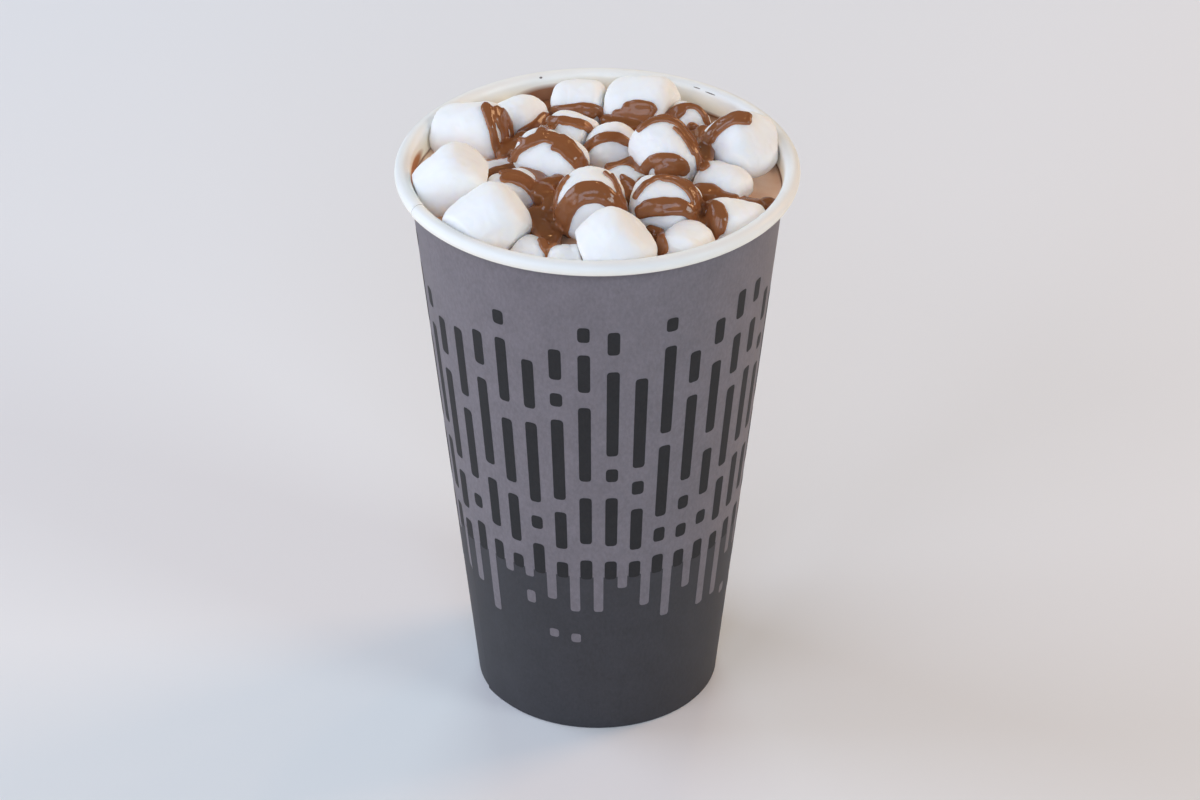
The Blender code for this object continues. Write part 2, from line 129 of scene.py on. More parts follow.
def add_node(tree, kind, inputs=None, **settings):
    """Adds one node with its settings and inputs."""
    node = tree.nodes.new(kind)
    for name, value in settings.items():
        setattr(node, name, value)
    set_inputs(tree, node, inputs or {})
    return node


def new_material(name):
    """A material with its node tree, the shader in it and the place on the object."""
    material = bpy.data.materials.new(name)
    material.use_nodes = True
    tree = material.node_tree
    where = add_node(tree, "ShaderNodeTexCoord").outputs["Object"]
    return material, tree, tree.nodes["Principled BSDF"], where


laminate, tree, shader, where = new_material("matt_laminate")
cloud = add_node(tree, "ShaderNodeTexNoise", {"Vector": where, "Scale": 1 / CLOUD_SIZE, "Detail": 2.0})
place = add_node(tree, "ShaderNodeSeparateXYZ", {"Vector": where})
# Painted light tint: the laminate runs from warm in front to cool at the back, over a faint random mottle.
away = add_node(
    tree, "ShaderNodeMath", {0: cloud, 1: 0.2, 2: place.outputs["Y"]}, operation="MULTIPLY_ADD"
)
laminate_light_tint = add_node(tree, "ShaderNodeValToRGB", {"Fac": away})
laminate_light_tint.color_ramp.elements[0].color = linear("#EBE8E8")
laminate_light_tint.color_ramp.elements[1].position = 0.6
laminate_light_tint.color_ramp.elements[1].color = linear("#E2E5ED")
set_inputs(tree, shader, {"Base Color": laminate_light_tint, "Roughness": 0.75})
floor_mesh = bpy.data.meshes.new("table_top")
corners = [(-FLOOR_REACH, -FLOOR_REACH, 0), (FLOOR_REACH, -FLOOR_REACH, 0)]
corners += [(FLOOR_REACH, FLOOR_REACH, 0), (-FLOOR_REACH, FLOOR_REACH, 0)]
floor_mesh.from_pydata(corners, [], [(0, 1, 2, 3)])
floor_mesh.materials.append(laminate)
table_top = bpy.data.objects.new("table_top", floor_mesh)
bpy.context.scene.collection.objects.link(table_top)


# The cup's wall, one blank of thin board coated white inside and printed outside, rolled to a cone and
# lapped at the seam. Its lip is curled outwards, so the white side shows, and its foot is folded in.
CUP_HEIGHT = 135.5 * MM
LIP_DIAMETER = 90.0 * MM
LIP_WIDTH = 3.5 * MM
LIP_DEPTH = 3.5 * MM
FOOT_DIAMETER = 56.2 * MM
PAPER = 0.45 * MM
GAP = 0.3 * MM
CUP_SIDES = 240
LIP_CURL_DEGREES = 330.0
LIP_SIDES = 32
WALL_ROWS = 30
SEAM_ANGLE = math.radians(-154)
SEAM_WIDTH = 6.0 * MM
SEAM_STEP = 0.3 * MM
SEAM_EDGE = 0.12 * MM
HEM_HEIGHT = 7.4 * MM
HEM_FLOOR = 0.6 * MM
FOLD = 0.25 * MM
SHARP = math.radians(35)

lip_centre_height = CUP_HEIGHT - LIP_DEPTH / 2
lip_centre_radius = LIP_DIAMETER / 2 - LIP_WIDTH / 2
wall_top_radius = LIP_DIAMETER / 2 - LIP_WIDTH + PAPER
wall_slope = (wall_top_radius - FOOT_DIAMETER / 2) / lip_centre_height


def outer_radius(height):
    """Outer face of the wall, a straight cone."""
    return FOOT_DIAMETER / 2 + wall_slope * height


def inner_radius(height):
    return outer_radius(height) - PAPER


def lip_place(turn):
    """(radius, height) on the lip's curl at a turn of its section."""
    radius = lip_centre_radius + LIP_WIDTH / 2 * math.cos(turn)
    return radius, lip_centre_height + LIP_DEPTH / 2 * math.sin(turn)


def seam_rise(angle):
    """How far the lap lifts the outer face here: a step at its edge, easing away over the lap."""
    lap = SEAM_WIDTH / (LIP_DIAMETER / 2)
    past = (angle - SEAM_ANGLE) % (2 * math.pi)
    return SEAM_STEP * (1 - past / (2 * lap)) if past < 2 * lap else 0.0


def join_rings(bm, rings):
    """Faces between each ring of points and the next one."""
    for lower, upper in zip(rings, rings[1:]):
        for i in range(len(lower)):
            after = (i + 1) % len(lower)
            bm.faces.new((lower[i], lower[after], upper[after], upper[i]))


def mesh_from_bmesh(name, bm):
    bmesh.ops.recalc_face_normals(bm, faces=bm.faces)
    mesh = bpy.data.meshes.new(name)
    bm.to_mesh(mesh)
    bm.free()
    mesh.shade_smooth()
    return mesh


def turned_mesh(name, section, angles, rise_share, closed):
    """A section of (radius, height) points turned round the cup's axis, with each point's share of
    the lap's rise. A section that isn't closed has a face across its first ring and its last.
    """
    bm = bmesh.new()
    rings = []
    for (radius, height), share in zip(section, rise_share):
        ring = []
        for angle in angles:
            reach = radius + share * seam_rise(angle)
            ring.append(bm.verts.new((reach * math.cos(angle), reach * math.sin(angle), height)))
        rings.append(ring)
    join_rings(bm, rings + rings[:1] if closed else rings)
    if not closed:
        bm.faces.new(rings[0])
        bm.faces.new(rings[-1])
    return mesh_from_bmesh(name, bm)


def add_piece(name, mesh, slot, *materials):
    """Puts a finished mesh in the scene as a piece of the object."""
    for material in materials:
        mesh.materials.append(material)
    piece = bpy.data.objects.new(name, mesh)
    bpy.context.scene.collection.objects.link(piece)
    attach(piece, "root")
    return piece


cup_angles = [SEAM_ANGLE + 2 * math.pi * i / CUP_SIDES for i in range(CUP_SIDES)]
cup_angles += [SEAM_ANGLE - SEAM_EDGE / (LIP_DIAMETER / 2)]
cup_angles = sorted(angle % (2 * math.pi) for angle in cup_angles)
lip_turns = [math.radians(180 - LIP_CURL_DEGREES * i / (LIP_SIDES - 1)) for i in range(LIP_SIDES)]
lip = [lip_place(turn) for turn in lip_turns]
hem_outer = 2 * PAPER + 2 * GAP
hem_inner = hem_outer + PAPER
lip_bottom = lip[-1][1]
heights = [FOLD + (lip_bottom - 2 * FOLD) * i / WALL_ROWS for i in range(WALL_ROWS + 1)]
outside = [(outer_radius(height), height) for height in heights]
curl = list(reversed(lip))
inside = [(inner_radius(height), height) for height in reversed(heights) if height > HEM_FLOOR]
hem = [
    (inner_radius(HEM_FLOOR), HEM_FLOOR),
    (outer_radius(HEM_FLOOR) - hem_outer, HEM_FLOOR),
    (outer_radius(HEM_HEIGHT) - hem_outer, HEM_HEIGHT),
    (outer_radius(HEM_HEIGHT) - hem_inner, HEM_HEIGHT),
    (outer_radius(0) - hem_inner, FOLD),
    (outer_radius(0) - hem_inner + FOLD, 0.0),
]
section = [(outer_radius(0) - FOLD, 0.0), *outside, *curl, *inside, *hem]
rise_share = [0.0] + [1.0] * len(outside) + [0.5] * len(curl) + [0.0] * (len(inside) + len(hem))
wall_mesh = turned_mesh("cup_paper", section, cup_angles, rise_share, closed=True)
wall_mesh.set_sharp_from_angle(angle=SHARP)
for face in wall_mesh.polygons:
    centre = face.center
    printed = math.hypot(centre.x, centre.y) > outer_radius(centre.z) - PAPER / 3 and centre.z < lip_bottom
    face.material_index = 0 if printed and face.normal.z < 0.5 else 1

# Printed board: offset ink on uncoated fibre, so it is matt, with a fine mottle where fibres take the
# ink unevenly. The fibres are drawn at 0.7 mm, some twenty times their width, so that they show.
FIELD_CHANGE = 46.2 * MM
FIBRE_SIZE = MM / 1.4
MOTTLE_SIZE = 6.25 * MM
GREY_INK = (linear("#6B656A"), linear("#7D767C"))
BLACK_INK = (linear("#1F1E20"), linear("#29282A"))
BLACK_FIELD = (linear("#2E2D31"), linear("#3A393E"))
INK_ROUGHNESS = 0.62


def print_board(tree, shader, where, inks):
    """Wires a printed board: two shades of ink in a fibre mottle, uneven roughness and a fine tooth."""
    long_fibres = add_node(tree, "ShaderNodeMapping", {"Vector": where, "Scale": (1.0, 1.0, 0.6)})
    fibres = add_node(
        tree, "ShaderNodeTexNoise",
        {"Vector": long_fibres, "Scale": 1 / FIBRE_SIZE, "Detail": 3.0, "Roughness": 0.65},
    )
    clouds = add_node(
        tree, "ShaderNodeTexNoise", {"Vector": where, "Scale": 1 / MOTTLE_SIZE, "Detail": 3.0}
    )
    both = add_node(tree, "ShaderNodeMix", {0: 0.35, 2: fibres, 3: clouds}, data_type="FLOAT")
    mottle = add_node(
        tree, "ShaderNodeMapRange",
        {"Value": both, "From Min": 0.34, "From Max": 0.68, "To Min": 0.0, "To Max": 1.0},
    )
    colour = add_node(tree, "ShaderNodeMix", {0: mottle, 6: inks[0], 7: inks[1]}, data_type="RGBA")
    dull = add_node(
        tree, "ShaderNodeMapRange",
        {"Value": both, "To Min": INK_ROUGHNESS - 0.08, "To Max": INK_ROUGHNESS + 0.08},
    )
    tooth = add_node(
        tree, "ShaderNodeBump", {"Height": fibres, "Strength": 0.35, "Distance": 0.06 * MM}
    )
    set_inputs(tree, shader, {"Base Color": colour, "Roughness": dull, "Normal": tooth})
    return mottle, colour


grey_ink, tree, shader, where = new_material("grey_ink_on_board")
print_board(tree, shader, where, GREY_INK)
black_ink, tree, shader, where = new_material("black_ink_on_board")
print_board(tree, shader, where, BLACK_INK)
shader.inputs["Specular IOR Level"].default_value = 0.3

printed_board, tree, shader, where = new_material("printed_board")
mottle, grey = print_board(tree, shader, where, GREY_INK)
place = add_node(tree, "ShaderNodeSeparateXYZ", {"Vector": where})
lower = add_node(tree, "ShaderNodeMath", {0: place.outputs["Z"], 1: FIELD_CHANGE}, operation="LESS_THAN")
black = add_node(
    tree, "ShaderNodeMix", {0: mottle, 6: BLACK_FIELD[0], 7: BLACK_FIELD[1]}, data_type="RGBA"
)
field = add_node(tree, "ShaderNodeMix", {0: lower, 6: grey, 7: black}, data_type="RGBA")
set_inputs(tree, shader, {"Base Color": field})

# White coated board: a thin satin film over the paper, smooth but for the faint tooth of the fibres
# beneath, drawn at 1.4 mm so that it shows. Inside, below the lip, it is painted creamy: painted warm
# light thrown back inside the cup. Steam and cocoa have turned it brown in a thin line over the drink.
# The lap's step has a painted shadow, a fine darker line across the lip.
FILM_SIZE = MM / 0.7
YELLOWING_SIZE = MM / 0.09
BOUNCE_TINT_TOP = 134.6 * MM
BOUNCE_TINT_FOOT = 131.6 * MM
TIDE_LINE = 129.8 * MM
LAP_SHADOW_WIDTH = 0.22 * MM

# Two brown stains, at the left and at the back: the middle of each, its half sizes and its colour.
STAINS = (
    (Vector((-40.7, 4.5, 131.0)) * MM, Vector((3.0, 9.0, 1.7)) * MM, "#B4713F"),
    (Vector((-11.0, 39.6, 130.2)) * MM, Vector((11.0, 5.0, 2.9)) * MM, "#9C6B4C"),
)

coated_board, tree, shader, where = new_material("white_coated_board")
fibres = add_node(tree, "ShaderNodeTexNoise", {"Vector": where, "Scale": 1 / FILM_SIZE, "Detail": 3.0})
clouds = add_node(
    tree, "ShaderNodeTexNoise", {"Vector": where, "Scale": 1 / YELLOWING_SIZE, "Detail": 2.0}
)
place = add_node(tree, "ShaderNodeSeparateXYZ", {"Vector": where})
white = add_node(
    tree, "ShaderNodeMix", {0: clouds, 6: linear("#EFEEEA"), 7: linear("#F7F7F5")}, data_type="RGBA"
)
# Painted warm bounce light: the white inside is tinted cream from just under the lip downwards.
bounce_tint_depth = add_node(
    tree, "ShaderNodeMapRange",
    {"Value": place.outputs["Z"], "From Min": BOUNCE_TINT_TOP, "From Max": BOUNCE_TINT_FOOT},
)
painted_bounce_cream = add_node(
    tree, "ShaderNodeMix", {0: bounce_tint_depth, 6: white, 7: linear("#FFF6E2")}, data_type="RGBA"
)
ragged = add_node(
    tree, "ShaderNodeMath", {0: clouds, 1: 1.6 * MM, 2: place.outputs["Z"]}, operation="MULTIPLY_ADD"
)
wetted = add_node(
    tree, "ShaderNodeMapRange",
    {"Value": ragged, "From Min": TIDE_LINE + 1.3 * MM, "From Max": TIDE_LINE + 0.6 * MM},
)
tide = add_node(tree, "ShaderNodeMix", {0: wetted, 6: painted_bounce_cream, 7: linear("#9A6A48")}, data_type="RGBA")
soaked = tide
for stain_place, stain_reach, stain_colour in STAINS:
    apart = add_node(tree, "ShaderNodeVectorMath", {0: where, 1: stain_place}, operation="SUBTRACT")
    scaled = add_node(tree, "ShaderNodeVectorMath", {0: apart, 1: stain_reach}, operation="DIVIDE")
    far = add_node(tree, "ShaderNodeVectorMath", {0: scaled}, operation="LENGTH")
    stained = add_node(tree, "ShaderNodeMapRange", {"Value": far, "From Min": 1.15, "From Max": 0.7})
    soaked = add_node(
        tree, "ShaderNodeMix", {0: stained, 6: soaked, 7: linear(stain_colour)}, data_type="RGBA"
    )
around = add_node(
    tree, "ShaderNodeMath", {0: place.outputs["Y"], 1: place.outputs["X"]}, operation="ARCTAN2"
)
# Painted shadow of the lap's step: a fine darker line at the seam's heading, across the lip.
on_lap_shadow = add_node(
    tree, "ShaderNodeMath", {0: around, 1: SEAM_ANGLE, 2: LAP_SHADOW_WIDTH / LIP_DIAMETER}, operation="COMPARE"
)
lap_shadowed = add_node(tree, "ShaderNodeMix", {0: on_lap_shadow, 6: soaked, 7: linear("#B9B4A8")}, data_type="RGBA")
satin = add_node(tree, "ShaderNodeMapRange", {"Value": fibres, "To Min": 0.34, "To Max": 0.5})
tooth = add_node(tree, "ShaderNodeBump", {"Height": fibres, "Strength": 0.2, "Distance": 0.04 * MM})
set_inputs(tree, shader, {"Base Color": lap_shadowed, "Roughness": satin, "Normal": tooth})

cup_paper = add_piece("cup_paper", wall_mesh, "printed_paper", printed_board, coated_board)
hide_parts("cup_wall")

# The print on the wall: upright dashes with rounded corners, in columns, black on the grey field, and
# grey drips and drops that run down between the lowest of them into the black field. Ink has no
# thickness of its own, so each dash is a skin a thirtieth of a millimetre clear of the board.
COLUMNS = 38
COLUMN_PHASE = math.radians(-94.3)
DASH_WIDTH = 3.0 * MM
CORNER_SHAPE = 0.55
DISC_SIDES = 24
POINT_CLEARANCE = 3.0 * MM
INK_LIFT = 0.03 * MM
PRINT_SEED = 11

# Heights and lengths in the columns, in millimetres. A pair is the least and the most of one that
# differs from dash to dash.
DROP_LENGTH = 3.7
LONGEST_DASH = 27.0
LONG_DASH_HEIGHT = 76.0
LONG_DASH_REACH = 36.0
SHORT_DASH = 5.0
FIRST_RISE = (2.0, 8.0)
COLUMN_TOP = (106.0, 128.0)
DASH_GAP = (3.2, 4.8)
LENGTH_SPREAD = (0.75, 1.15)
DRIP_FOOT = (29.0, 43.5)
DROP_SHARE = 0.28
DROP_FALL = (3.0, 9.0)
DROP_LENGTHS = (2.4, 2.6, 3.6)
OVERLAP = 1.0

Dash = namedtuple("Dash", "angle low high")


def dash_columns(seed):
    """Lays out the black dashes, in millimetres: each column is filled upwards, long in the middle."""
    pick = random.Random(seed)
    dashes = []
    for column in range(COLUMNS):
        angle = COLUMN_PHASE + 2 * math.pi * column / COLUMNS
        low = FIELD_CHANGE / MM - OVERLAP
        high = FIELD_CHANGE / MM + pick.uniform(*FIRST_RISE)
        top = pick.uniform(*COLUMN_TOP)
        while high < top:
            dashes.append(Dash(angle, low, high))
            low = high + pick.uniform(*DASH_GAP)
            nearness = max(0.0, 1 - abs(low - LONG_DASH_HEIGHT) / LONG_DASH_REACH)
            longest = SHORT_DASH + (LONGEST_DASH - SHORT_DASH) * nearness
            length = pick.choice((DROP_LENGTH, longest, longest, longest, longest * 0.75))
            high = low + max(DROP_LENGTH, length * pick.uniform(*LENGTH_SPREAD))
    return dashes


def drip_columns(seed):
    """Lays out the grey drips between the columns, and a few drops that have run on below them."""
    pick = random.Random(seed)
    drips = []
    for column in range(COLUMNS):
        angle = COLUMN_PHASE + 2 * math.pi * (column + 0.5) / COLUMNS
        low = pick.uniform(*DRIP_FOOT)
        drips.append(Dash(angle, low, FIELD_CHANGE / MM + OVERLAP))
        if pick.random() < DROP_SHARE:
            high = low - pick.uniform(*DROP_FALL)
            drips.append(Dash(angle, high - pick.choice(DROP_LENGTHS), high))
    return drips


def dash_points(name, dashes, width):
    """A mesh of bare points a little outside the wall, one for each dash, with its size as attributes."""
    mesh = bpy.data.meshes.new(name)
    values = {"heading": [], "width": [], "stretch": []}
    places = []
    for angle, low, high in dashes:
        middle = (low + high) / 2 * MM
        reach = outer_radius(middle) + POINT_CLEARANCE
        places.append((reach * math.cos(angle), reach * math.sin(angle), middle))
        values["heading"].append(angle + math.pi / 2)
        values["width"].append(width)
        values["stretch"].append(max(0.0, (high - low) * MM - width) / 2)
    mesh.from_pydata(places, [], [])
    for field, numbers in values.items():
        mesh.attributes.new(field, "FLOAT", "POINT").data.foreach_set("value", numbers)
    return mesh


def square_disc(name):
    """A flat disc 1 wide with full corners. Its two ends are marked, to be drawn apart later."""
    rim = [(0.0, 0.0, 0.0)]
    for i in range(DISC_SIDES):
        turn = 2 * math.pi * (i + 0.5) / DISC_SIDES
        across, along = math.cos(turn), math.sin(turn)
        wide = math.copysign(abs(across) ** CORNER_SHAPE, across) / 2
        rim.append((wide, math.copysign(abs(along) ** CORNER_SHAPE, along) / 2, 0.0))
    mesh = bpy.data.meshes.new(name)
    mesh.from_pydata(rim, [], [(0, i + 1, (i + 1) % DISC_SIDES + 1) for i in range(DISC_SIDES)])
    ends = [0.0] + [math.copysign(1.0, y) for _, y, _ in rim[1:]]
    mesh.attributes.new("end", "FLOAT", "POINT").data.foreach_set("value", ends)
    return mesh


def dash_tree():
    """Geometry Nodes: a disc stood on each point, drawn out to a dash and pressed on the wall."""
    tree = bpy.data.node_groups.new("dashes_on_a_wall", "GeometryNodeTree")
    tree.interface.new_socket("Geometry", in_out="INPUT", socket_type="NodeSocketGeometry")
    tree.interface.new_socket("Disc", in_out="INPUT", socket_type="NodeSocketObject")
    tree.interface.new_socket("Lift", in_out="INPUT", socket_type="NodeSocketFloat")
    tree.interface.new_socket("Wall", in_out="INPUT", socket_type="NodeSocketObject")
    tree.interface.new_socket("Ink", in_out="INPUT", socket_type="NodeSocketMaterial")
    tree.interface.new_socket("Geometry", in_out="OUTPUT", socket_type="NodeSocketGeometry")
    given = add_node(tree, "NodeGroupInput").outputs
    disc = add_node(tree, "GeometryNodeObjectInfo", {"Object": given["Disc"]})
    heading, width, stretch, end = (
        add_node(tree, "GeometryNodeInputNamedAttribute", {"Name": name}, data_type="FLOAT")
        for name in ("heading", "width", "stretch", "end")
    )
    stood = add_node(tree, "ShaderNodeCombineXYZ", {"X": math.pi / 2, "Z": heading})
    turn = add_node(tree, "FunctionNodeEulerToRotation", {"Euler": stood})
    placed = add_node(
        tree, "GeometryNodeInstanceOnPoints",
        {
            "Points": given["Geometry"], "Instance": disc.outputs["Geometry"],
            "Rotation": turn, "Scale": width,
        },
    )
    real = add_node(tree, "GeometryNodeRealizeInstances", {"Geometry": placed})
    rise = add_node(tree, "ShaderNodeMath", {0: end, 1: stretch}, operation="MULTIPLY")
    upward = add_node(tree, "ShaderNodeCombineXYZ", {"Z": rise})
    drawn = add_node(tree, "GeometryNodeSetPosition", {"Geometry": real, "Offset": upward})
    here = add_node(tree, "GeometryNodeInputPosition")
    wall = add_node(tree, "GeometryNodeObjectInfo", {"Object": given["Wall"]})
    nearest = add_node(
        tree, "GeometryNodeProximity", {"Geometry": wall.outputs["Geometry"]}, target_element="FACES"
    )
    apart = add_node(tree, "ShaderNodeVectorMath", {0: here, 1: nearest}, operation="SUBTRACT")
    outward = add_node(tree, "ShaderNodeVectorMath", {0: apart}, operation="NORMALIZE")
    lifted = add_node(
        tree, "ShaderNodeVectorMath", {0: outward, "Scale": given["Lift"]}, operation="SCALE"
    )
    on_wall = add_node(tree, "ShaderNodeVectorMath", {0: nearest, 1: lifted}, operation="ADD")
    pressed = add_node(tree, "GeometryNodeSetPosition", {"Geometry": drawn, "Position": on_wall})
    inked = add_node(tree, "GeometryNodeSetMaterial", {"Geometry": pressed, "Material": given["Ink"]})
    add_node(tree, "NodeGroupOutput", {"Geometry": inked})
    return tree


def plain_mesh(name, holder):
    """What an object's modifiers make, as a plain mesh. The object itself is removed."""
    bpy.context.view_layer.update()
    mesh = bpy.data.meshes.new_from_object(holder.evaluated_get(bpy.context.evaluated_depsgraph_get()))
    bpy.data.objects.remove(holder)
    mesh.name = name
    return mesh


def add_print(name, tree, points, ink):
    """Runs the tree on a mesh of points and adds what it makes to the object."""
    holder = bpy.data.objects.new(name, points)
    disc = bpy.data.objects.new("disc", square_disc("disc"))
    bpy.context.scene.collection.objects.link(holder)
    change = holder.modifiers.new("dashes", "NODES")
    change.node_group = tree
    values = {"Disc": disc, "Lift": INK_LIFT, "Wall": cup_paper, "Ink": ink}
    for item in tree.interface.items_tree:
        if item.in_out == "INPUT" and item.name in values:
            change[item.identifier] = values[item.name]
    made = plain_mesh(name, holder)
    bpy.data.objects.remove(disc)
    made.shade_smooth()
    add_piece(name, made, "printed_paper")


dashes_on_a_wall = dash_tree()
drip_width = 2 * math.pi / COLUMNS * outer_radius(FIELD_CHANGE) - DASH_WIDTH
black_points = dash_points("black_points", dash_columns(PRINT_SEED), DASH_WIDTH)
grey_points = dash_points("grey_points", drip_columns(PRINT_SEED), drip_width)
add_print("black_dashes", dashes_on_a_wall, black_points, black_ink)
add_print("grey_drips", dashes_on_a_wall, grey_points, grey_ink)

# Dirt on the lip: a crumb of dried cocoa at the back left and two fine dark scratches at the back
# right. Each is a low lens, half sunk in the lip's curl at a turn of its section.
SPECK_HEIGHT = 0.08 * MM
DIRT_GRAIN = 0.2 * MM

Speck = namedtuple("Speck", "angle turn length width")
SPECKS = (Speck(108, 136, 0.7, 0.5), Speck(57.2, 140, 1.9, 0.24), Speck(52.0, 148, 3.0, 0.26))


def add_speck(bm, speck):
    angle = math.radians(speck.angle)
    turn = math.radians(speck.turn)
    radius, height = lip_place(turn)
    out = Vector((math.cos(angle), math.sin(angle), 0))
    along = Vector((-math.sin(angle), math.cos(angle), 0))
    up = out * math.cos(turn) + Vector((0, 0, math.sin(turn)))
    place = Matrix((along, up.cross(along), up)).transposed().to_4x4()
    place.translation = out * radius + Vector((0, 0, height))
    sizes = Matrix.Diagonal((speck.length * MM / 2, speck.width * MM / 2, SPECK_HEIGHT, 1.0))
    bmesh.ops.create_icosphere(bm, subdivisions=3, radius=1.0, matrix=place @ sizes)


# Dried cocoa and dirt: matt, and mottled from brown to grey.
dried_cocoa, tree, shader, where = new_material("dried_cocoa")
mottle = add_node(tree, "ShaderNodeTexNoise", {"Vector": where, "Scale": 1 / DIRT_GRAIN})
dirt = add_node(
    tree, "ShaderNodeMix", {0: mottle, 6: linear("#5B4A44"), 7: linear("#8E8683")}, data_type="RGBA"
)
set_inputs(tree, shader, {"Base Color": dirt, "Roughness": 0.7})
bm = bmesh.new()
for speck in SPECKS:
    add_speck(bm, speck)
add_piece("lip_dirt", mesh_from_bmesh("lip_dirt", bm), "cocoa", dried_cocoa)

# The base, a disc of the same board with a skirt turned down, glued between the wall and the hem. It
# is held clear of the table, and the cup stands on its folded foot.
BASE_HEIGHT = 8.0 * MM
SKIRT_FOOT = 0.9 * MM
FLAT_MIDDLE = 4.0 * MM
base_top = BASE_HEIGHT + PAPER
base_section = [
    (FLAT_MIDDLE, base_top),
    (outer_radius(base_top) - PAPER - GAP - PAPER / 2, base_top),
    (outer_radius(BASE_HEIGHT) - PAPER - GAP, BASE_HEIGHT + PAPER / 4),
    (outer_radius(SKIRT_FOOT) - PAPER - GAP, SKIRT_FOOT),
    (outer_radius(SKIRT_FOOT) - 2 * PAPER - GAP, SKIRT_FOOT),
    (outer_radius(BASE_HEIGHT) - 2 * PAPER - GAP, BASE_HEIGHT),
    (FLAT_MIDDLE, BASE_HEIGHT),
]
base_mesh = turned_mesh("base_disc", base_section, cup_angles, [0.0] * len(base_section), closed=False)
base_mesh.set_sharp_from_angle(angle=SHARP)
base_disc = add_piece("base_disc", base_mesh, "plain_paper", coated_board)
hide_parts("cup_base")

# The marshmallows, short soft cylinders of whipped sugar and gelatine, dusted with starch. They are
# pressed flat where they meet, and float in the drink to about a third of their depth.
CORNER_POWER = 3.6
UNEVENNESS = 0.05
UNEVEN_WAVES = 1.6
SKIN_CELLS = 28
TEST_CELLS = 4
WRINKLE = 0.16 * MM
WRINKLE_SIZE = 3.4 * MM
PRESS_EASE = 0.6 * MM
LEAST_FACING = 0.05
WALL_TRIES = 6

Marshmallow = namedtuple("Marshmallow", "x y z heading pitch diameter length")
MARSHMALLOWS = [Marshmallow(*row) for row in (
    (-28.8, 18.3, 132.6, -20, 15, 13.8, 17.5),
    (-32.4, -6.2, 133.0, -5, 45, 15.8, 17.4),
    (-23.8, -23.5, 133.0, 10, 35, 16.4, 17.4),
    (-17.8, 26.5, 130.4, -30, 35, 12.5, 12.5),
    (-4.0, 32.8, 131.2, -10, 5, 12.8, 12.4),
    (10.2, 30.2, 132.2, -15, 10, 15.0, 16.8),
    (-5.6, 17.5, 131.2, -30, -5, 12.4, 12.4),
    (-10.3, 3.6, 133.6, -30, -10, 13.2, 15.6),
    (2.9, 13.0, 131.4, -55, 35, 12.0, 12.0),
    (15.1, 4.5, 134.7, -60, -20, 13.8, 15.4),
    (19.8, 25.6, 130.0, 45, 45, 10.2, 10.4),
    (32.0, 9.7, 133.6, -40, 35, 15.4, 15.4),
    (27.8, -2.3, 129.9, -35, 0, 11.6, 12.0),
    (29.8, -18.0, 129.3, 20, -18, 12.4, 14.4),
    (19.1, -28.6, 129.5, 60, 0, 12.0, 12.0),
    (3.1, -33.0, 132.2, 10, 45, 16.8, 16.6),
    (14.8, -16.7, 133.3, -15, -5, 13.4, 15.2),
    (-1.4, -17.2, 134.6, -90, 10, 15.2, 15.4),
    (-13.9, -30.4, 128.4, -45, 0, 9.8, 10.2),
    (-6.2, -34.2, 128.8, 0, 0, 10.0, 9.6),
    (-19.2, -6.7, 130.1, 30, 0, 12.0, 13.0),
    (-21.3, 5.0, 127.1, 20, 0, 11.0, 13.0),
    (-9.0, -10.6, 126.6, 60, 0, 9.6, 10.0),
    (6.6, -2.0, 128.9, -50, 0, 11.0, 12.0),
)]


def direction(heading, pitch):
    turn = math.radians(heading)
    rise = math.radians(pitch)
    return Vector((math.cos(rise) * math.cos(turn), math.cos(rise) * math.sin(turn), math.sin(rise)))


def centre_of(sweet):
    return Vector((sweet.x, sweet.y, sweet.z)) * MM


def bare_reach(sweet, ray):
    """Distance from a marshmallow's centre to its skin: a cylinder with full soft corners."""
    axis = direction(sweet.heading, sweet.pitch)
    along = abs(ray.dot(axis)) / (sweet.length / 2)
    across = math.sqrt(max(0.0, 1 - ray.dot(axis) ** 2)) / (sweet.diameter / 2)
    reach = (along**CORNER_POWER + across**CORNER_POWER) ** (-1 / CORNER_POWER)
    uneven = noise.noise(ray * UNEVEN_WAVES + Vector((sweet.x, sweet.y, sweet.z)))
    return reach * (1 + UNEVENNESS * uneven) * MM


def skin_rays(sweet, cells):
    """Rays to a marshmallow's skin and the faces between them: a cube's grid drawn out to its form."""
    axis = direction(sweet.heading, sweet.pitch)
    across = axis.cross(Vector((0, 0, 1))).normalized()
    upright = across.cross(axis)
    bm = bmesh.new()
    bmesh.ops.create_cube(bm, size=2.0)
    bmesh.ops.subdivide_edges(bm, edges=bm.edges, cuts=cells - 1, use_grid_fill=True)
    rays = []
    for vertex in bm.verts:
        place = [math.tan(part * math.pi / 4) for part in vertex.co]
        ray = (across * place[0] + upright * place[1]) * sweet.diameter + axis * place[2] * sweet.length
        rays.append(ray.normalized())
    faces = [[vertex.index for vertex in face.verts] for face in bm.faces]
    bm.free()
    return rays, faces


def farthest(sweet, way):
    """How far the marshmallow's bare skin reaches along a direction from its centre."""
    return max(bare_reach(sweet, ray) * ray.dot(way) for ray in skin_rays(sweet, TEST_CELLS)[0])


def contact_planes(sweet):
    """(normal, distance) of each flat where a neighbour presses this marshmallow."""
    planes = []
    for other in MARSHMALLOWS:
        apart = centre_of(other) - centre_of(sweet)
        reach = (sweet.diameter + sweet.length + other.diameter + other.length) / 2 * MM
        if other is sweet or apart.length > reach:
            continue
        way = apart.normalized()
        mine = farthest(sweet, way)
        theirs = farthest(other, -way)
        planes.append((way, apart.length * mine / (mine + theirs) - GAP / 2))
    return planes


def softer_least(first, second, ease):
    """The lesser of two lengths, with the corner between them rounded off."""
    near = max(ease - abs(first - second), 0.0) / ease
    return min(first, second) - near * near * ease / 4


